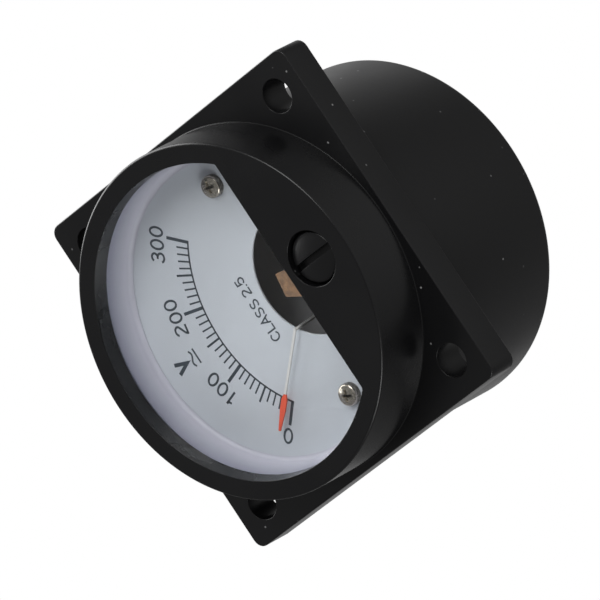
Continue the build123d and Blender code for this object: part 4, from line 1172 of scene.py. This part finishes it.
def make_washers(name, node, radius, slit, material):
    """Flat collars with eased edges, one on each stud, slit open at the top if asked."""
    low, high = cad(node)
    shell = Shell()
    section = [
        (STUD_HOLE_RADIUS, low.y),
        (radius - WASHER_EASE, low.y),
        (radius, low.y + WASHER_EASE),
        (radius, high.y - WASHER_EASE),
        (radius - WASHER_EASE, high.y),
        (STUD_HOLE_RADIUS, high.y),
    ]
    for x, z in TERMINAL_PLACES:
        rings = []
        for reach, y in section:
            gap = math.asin(slit / 2 / reach)
            turns = [math.pi / 2 + gap + (2 * math.pi - 2 * gap) * k / MEDIUM for k in range(MEDIUM + 1)]
            rings.append([shell.point(x + reach * math.cos(t), y, z + reach * math.sin(t)) for t in turns])
        for first, second in zip(rings, rings[1:] + rings[:1]):
            for k in range(MEDIUM):
                shell.bm.faces.new((first[k], first[k + 1], second[k + 1], second[k]))
        if slit:
            shell.bm.faces.new([ring[0] for ring in rings])
            shell.bm.faces.new([ring[-1] for ring in rings])
        else:
            bmesh.ops.remove_doubles(shell.bm, verts=shell.bm.verts, dist=WELD_DISTANCE * MM)
    place(shell.mesh(name), name, "meter_case", MATERIALS[material], node)


make_housing()
make_bezel()
make_window()
make_surround()
make_dial()
make_scale()
make_numerals()
make_current_mark()
make_zero_screw()
make_dial_screws()
make_nuts("clamp_nut_pair", "clamp_nuts")
make_nuts("terminal_nut_pair", "terminal_nuts")
make_studs()
make_washers("clamp_washer_pair", "clamp_washers", 4.5, 0.0, "nickel")
make_washers("spring_washer_pair", "spring_washers", 3.6, 0.6, "zinc")


# ---------------------------------------------------------------- stage, lights and camera
FLOOR_DROP = 1.7
FLOOR_SIZE = 14.0


def make_stage():
    """Plain pale floor, far enough down for a view from below the meter."""
    bm = bmesh.new()
    bmesh.ops.create_grid(bm, x_segments=1, y_segments=1, size=FLOOR_SIZE / 2)
    made = bpy.data.meshes.new("floor")
    bm.to_mesh(made)
    bm.free()
    floor = bpy.data.objects.new("floor", made)
    floor.location.z = -FLOOR_DROP
    bpy.context.scene.collection.objects.link(floor)
    paint = Surface("floor_paint", (0.85, 0.85, 0.85), 0.7)
    paint.set("Roughness", paint.remap(paint.noise(40.0), 0.3, 0.7, 0.65, 0.75))
    made.materials.append(paint.material)


WORLD_LIGHT = 0.2


def make_world():
    """Dim even studio for light and reflections, plain white to the camera."""
    world = bpy.data.worlds.new("studio")
    bpy.context.scene.world = world
    world.use_nodes = True
    nodes, links = world.node_tree.nodes, world.node_tree.links
    nodes.clear()
    lit = nodes.new("ShaderNodeBackground")
    lit.inputs["Strength"].default_value = WORLD_LIGHT
    seen = nodes.new("ShaderNodeBackground")
    seen.inputs["Color"].default_value = (1, 1, 1, 1)
    path = nodes.new("ShaderNodeLightPath")
    both = nodes.new("ShaderNodeMixShader")
    out = nodes.new("ShaderNodeOutputWorld")
    links.new(path.outputs["Is Camera Ray"], both.inputs["Fac"])
    links.new(lit.outputs["Background"], both.inputs[1])
    links.new(seen.outputs["Background"], both.inputs[2])
    links.new(both.outputs["Shader"], out.inputs["Surface"])


def direction(azimuth, elevation):
    """Unit vector away from the meter: azimuth 0 is in front of it and 90 at +X, in degrees."""
    a, e = math.radians(azimuth), math.radians(elevation)
    return Vector((math.sin(a) * math.cos(e), -math.cos(a) * math.cos(e), math.sin(e)))


def soft_light(name, azimuth, elevation, distance, size, power):
    """Square area light aimed at the meter from an azimuth and elevation."""
    data = bpy.data.lights.new(name, "AREA")
    data.shape = "SQUARE"
    data.size = size
    data.energy = power
    lamp = bpy.data.objects.new(name, data)
    bpy.context.scene.collection.objects.link(lamp)
    toward = direction(azimuth, elevation)
    lamp.location = toward * distance
    lamp.rotation_mode = "QUATERNION"
    lamp.rotation_quaternion = (-toward).to_track_quat("-Z", "Y")


VIEW_AZIMUTH = -6.51
VIEW_ELEVATION = -40.78
VIEW_ROLL = 127.67
VIEW_DISTANCE = 1.2229
VIEW_TARGET = (-0.00208, -0.00256, -0.00255)
VIEW_LENS = 549.0


def make_camera():
    """Long lens from below and a little to the left, rolled about its own axis."""
    data = bpy.data.cameras.new("camera")
    camera = bpy.data.objects.new("camera", data)
    bpy.context.scene.collection.objects.link(camera)
    data.lens = VIEW_LENS
    data.sensor_width = 36.0
    data.clip_start, data.clip_end = 0.05, 60.0
    back = direction(VIEW_AZIMUTH, VIEW_ELEVATION)
    level_up = (Vector((0, 0, 1)) - back * back.z).normalized()
    right = level_up.cross(back)
    roll = math.radians(VIEW_ROLL)
    up = level_up * math.cos(roll) + right * math.sin(roll)
    side = up.cross(back)
    place_at = Vector(VIEW_TARGET) + back * VIEW_DISTANCE
    camera.matrix_world = Matrix.Translation(place_at) @ Matrix((side, up, back)).transposed().to_4x4()
    bpy.context.scene.camera = camera


make_stage()
make_world()
soft_light("top_light", 85, 38, 1.2, 1.25, 19.3)
soft_light("right_light", 38, -22, 1.2, 0.6, 5.0)
soft_light("left_light", -60, -8, 1.2, 0.6, 4.0)
soft_light("rear_light", 172, 30, 2.0, 2.2, 4.5)
make_camera()
bpy.context.scene.view_settings.view_transform = "Standard"
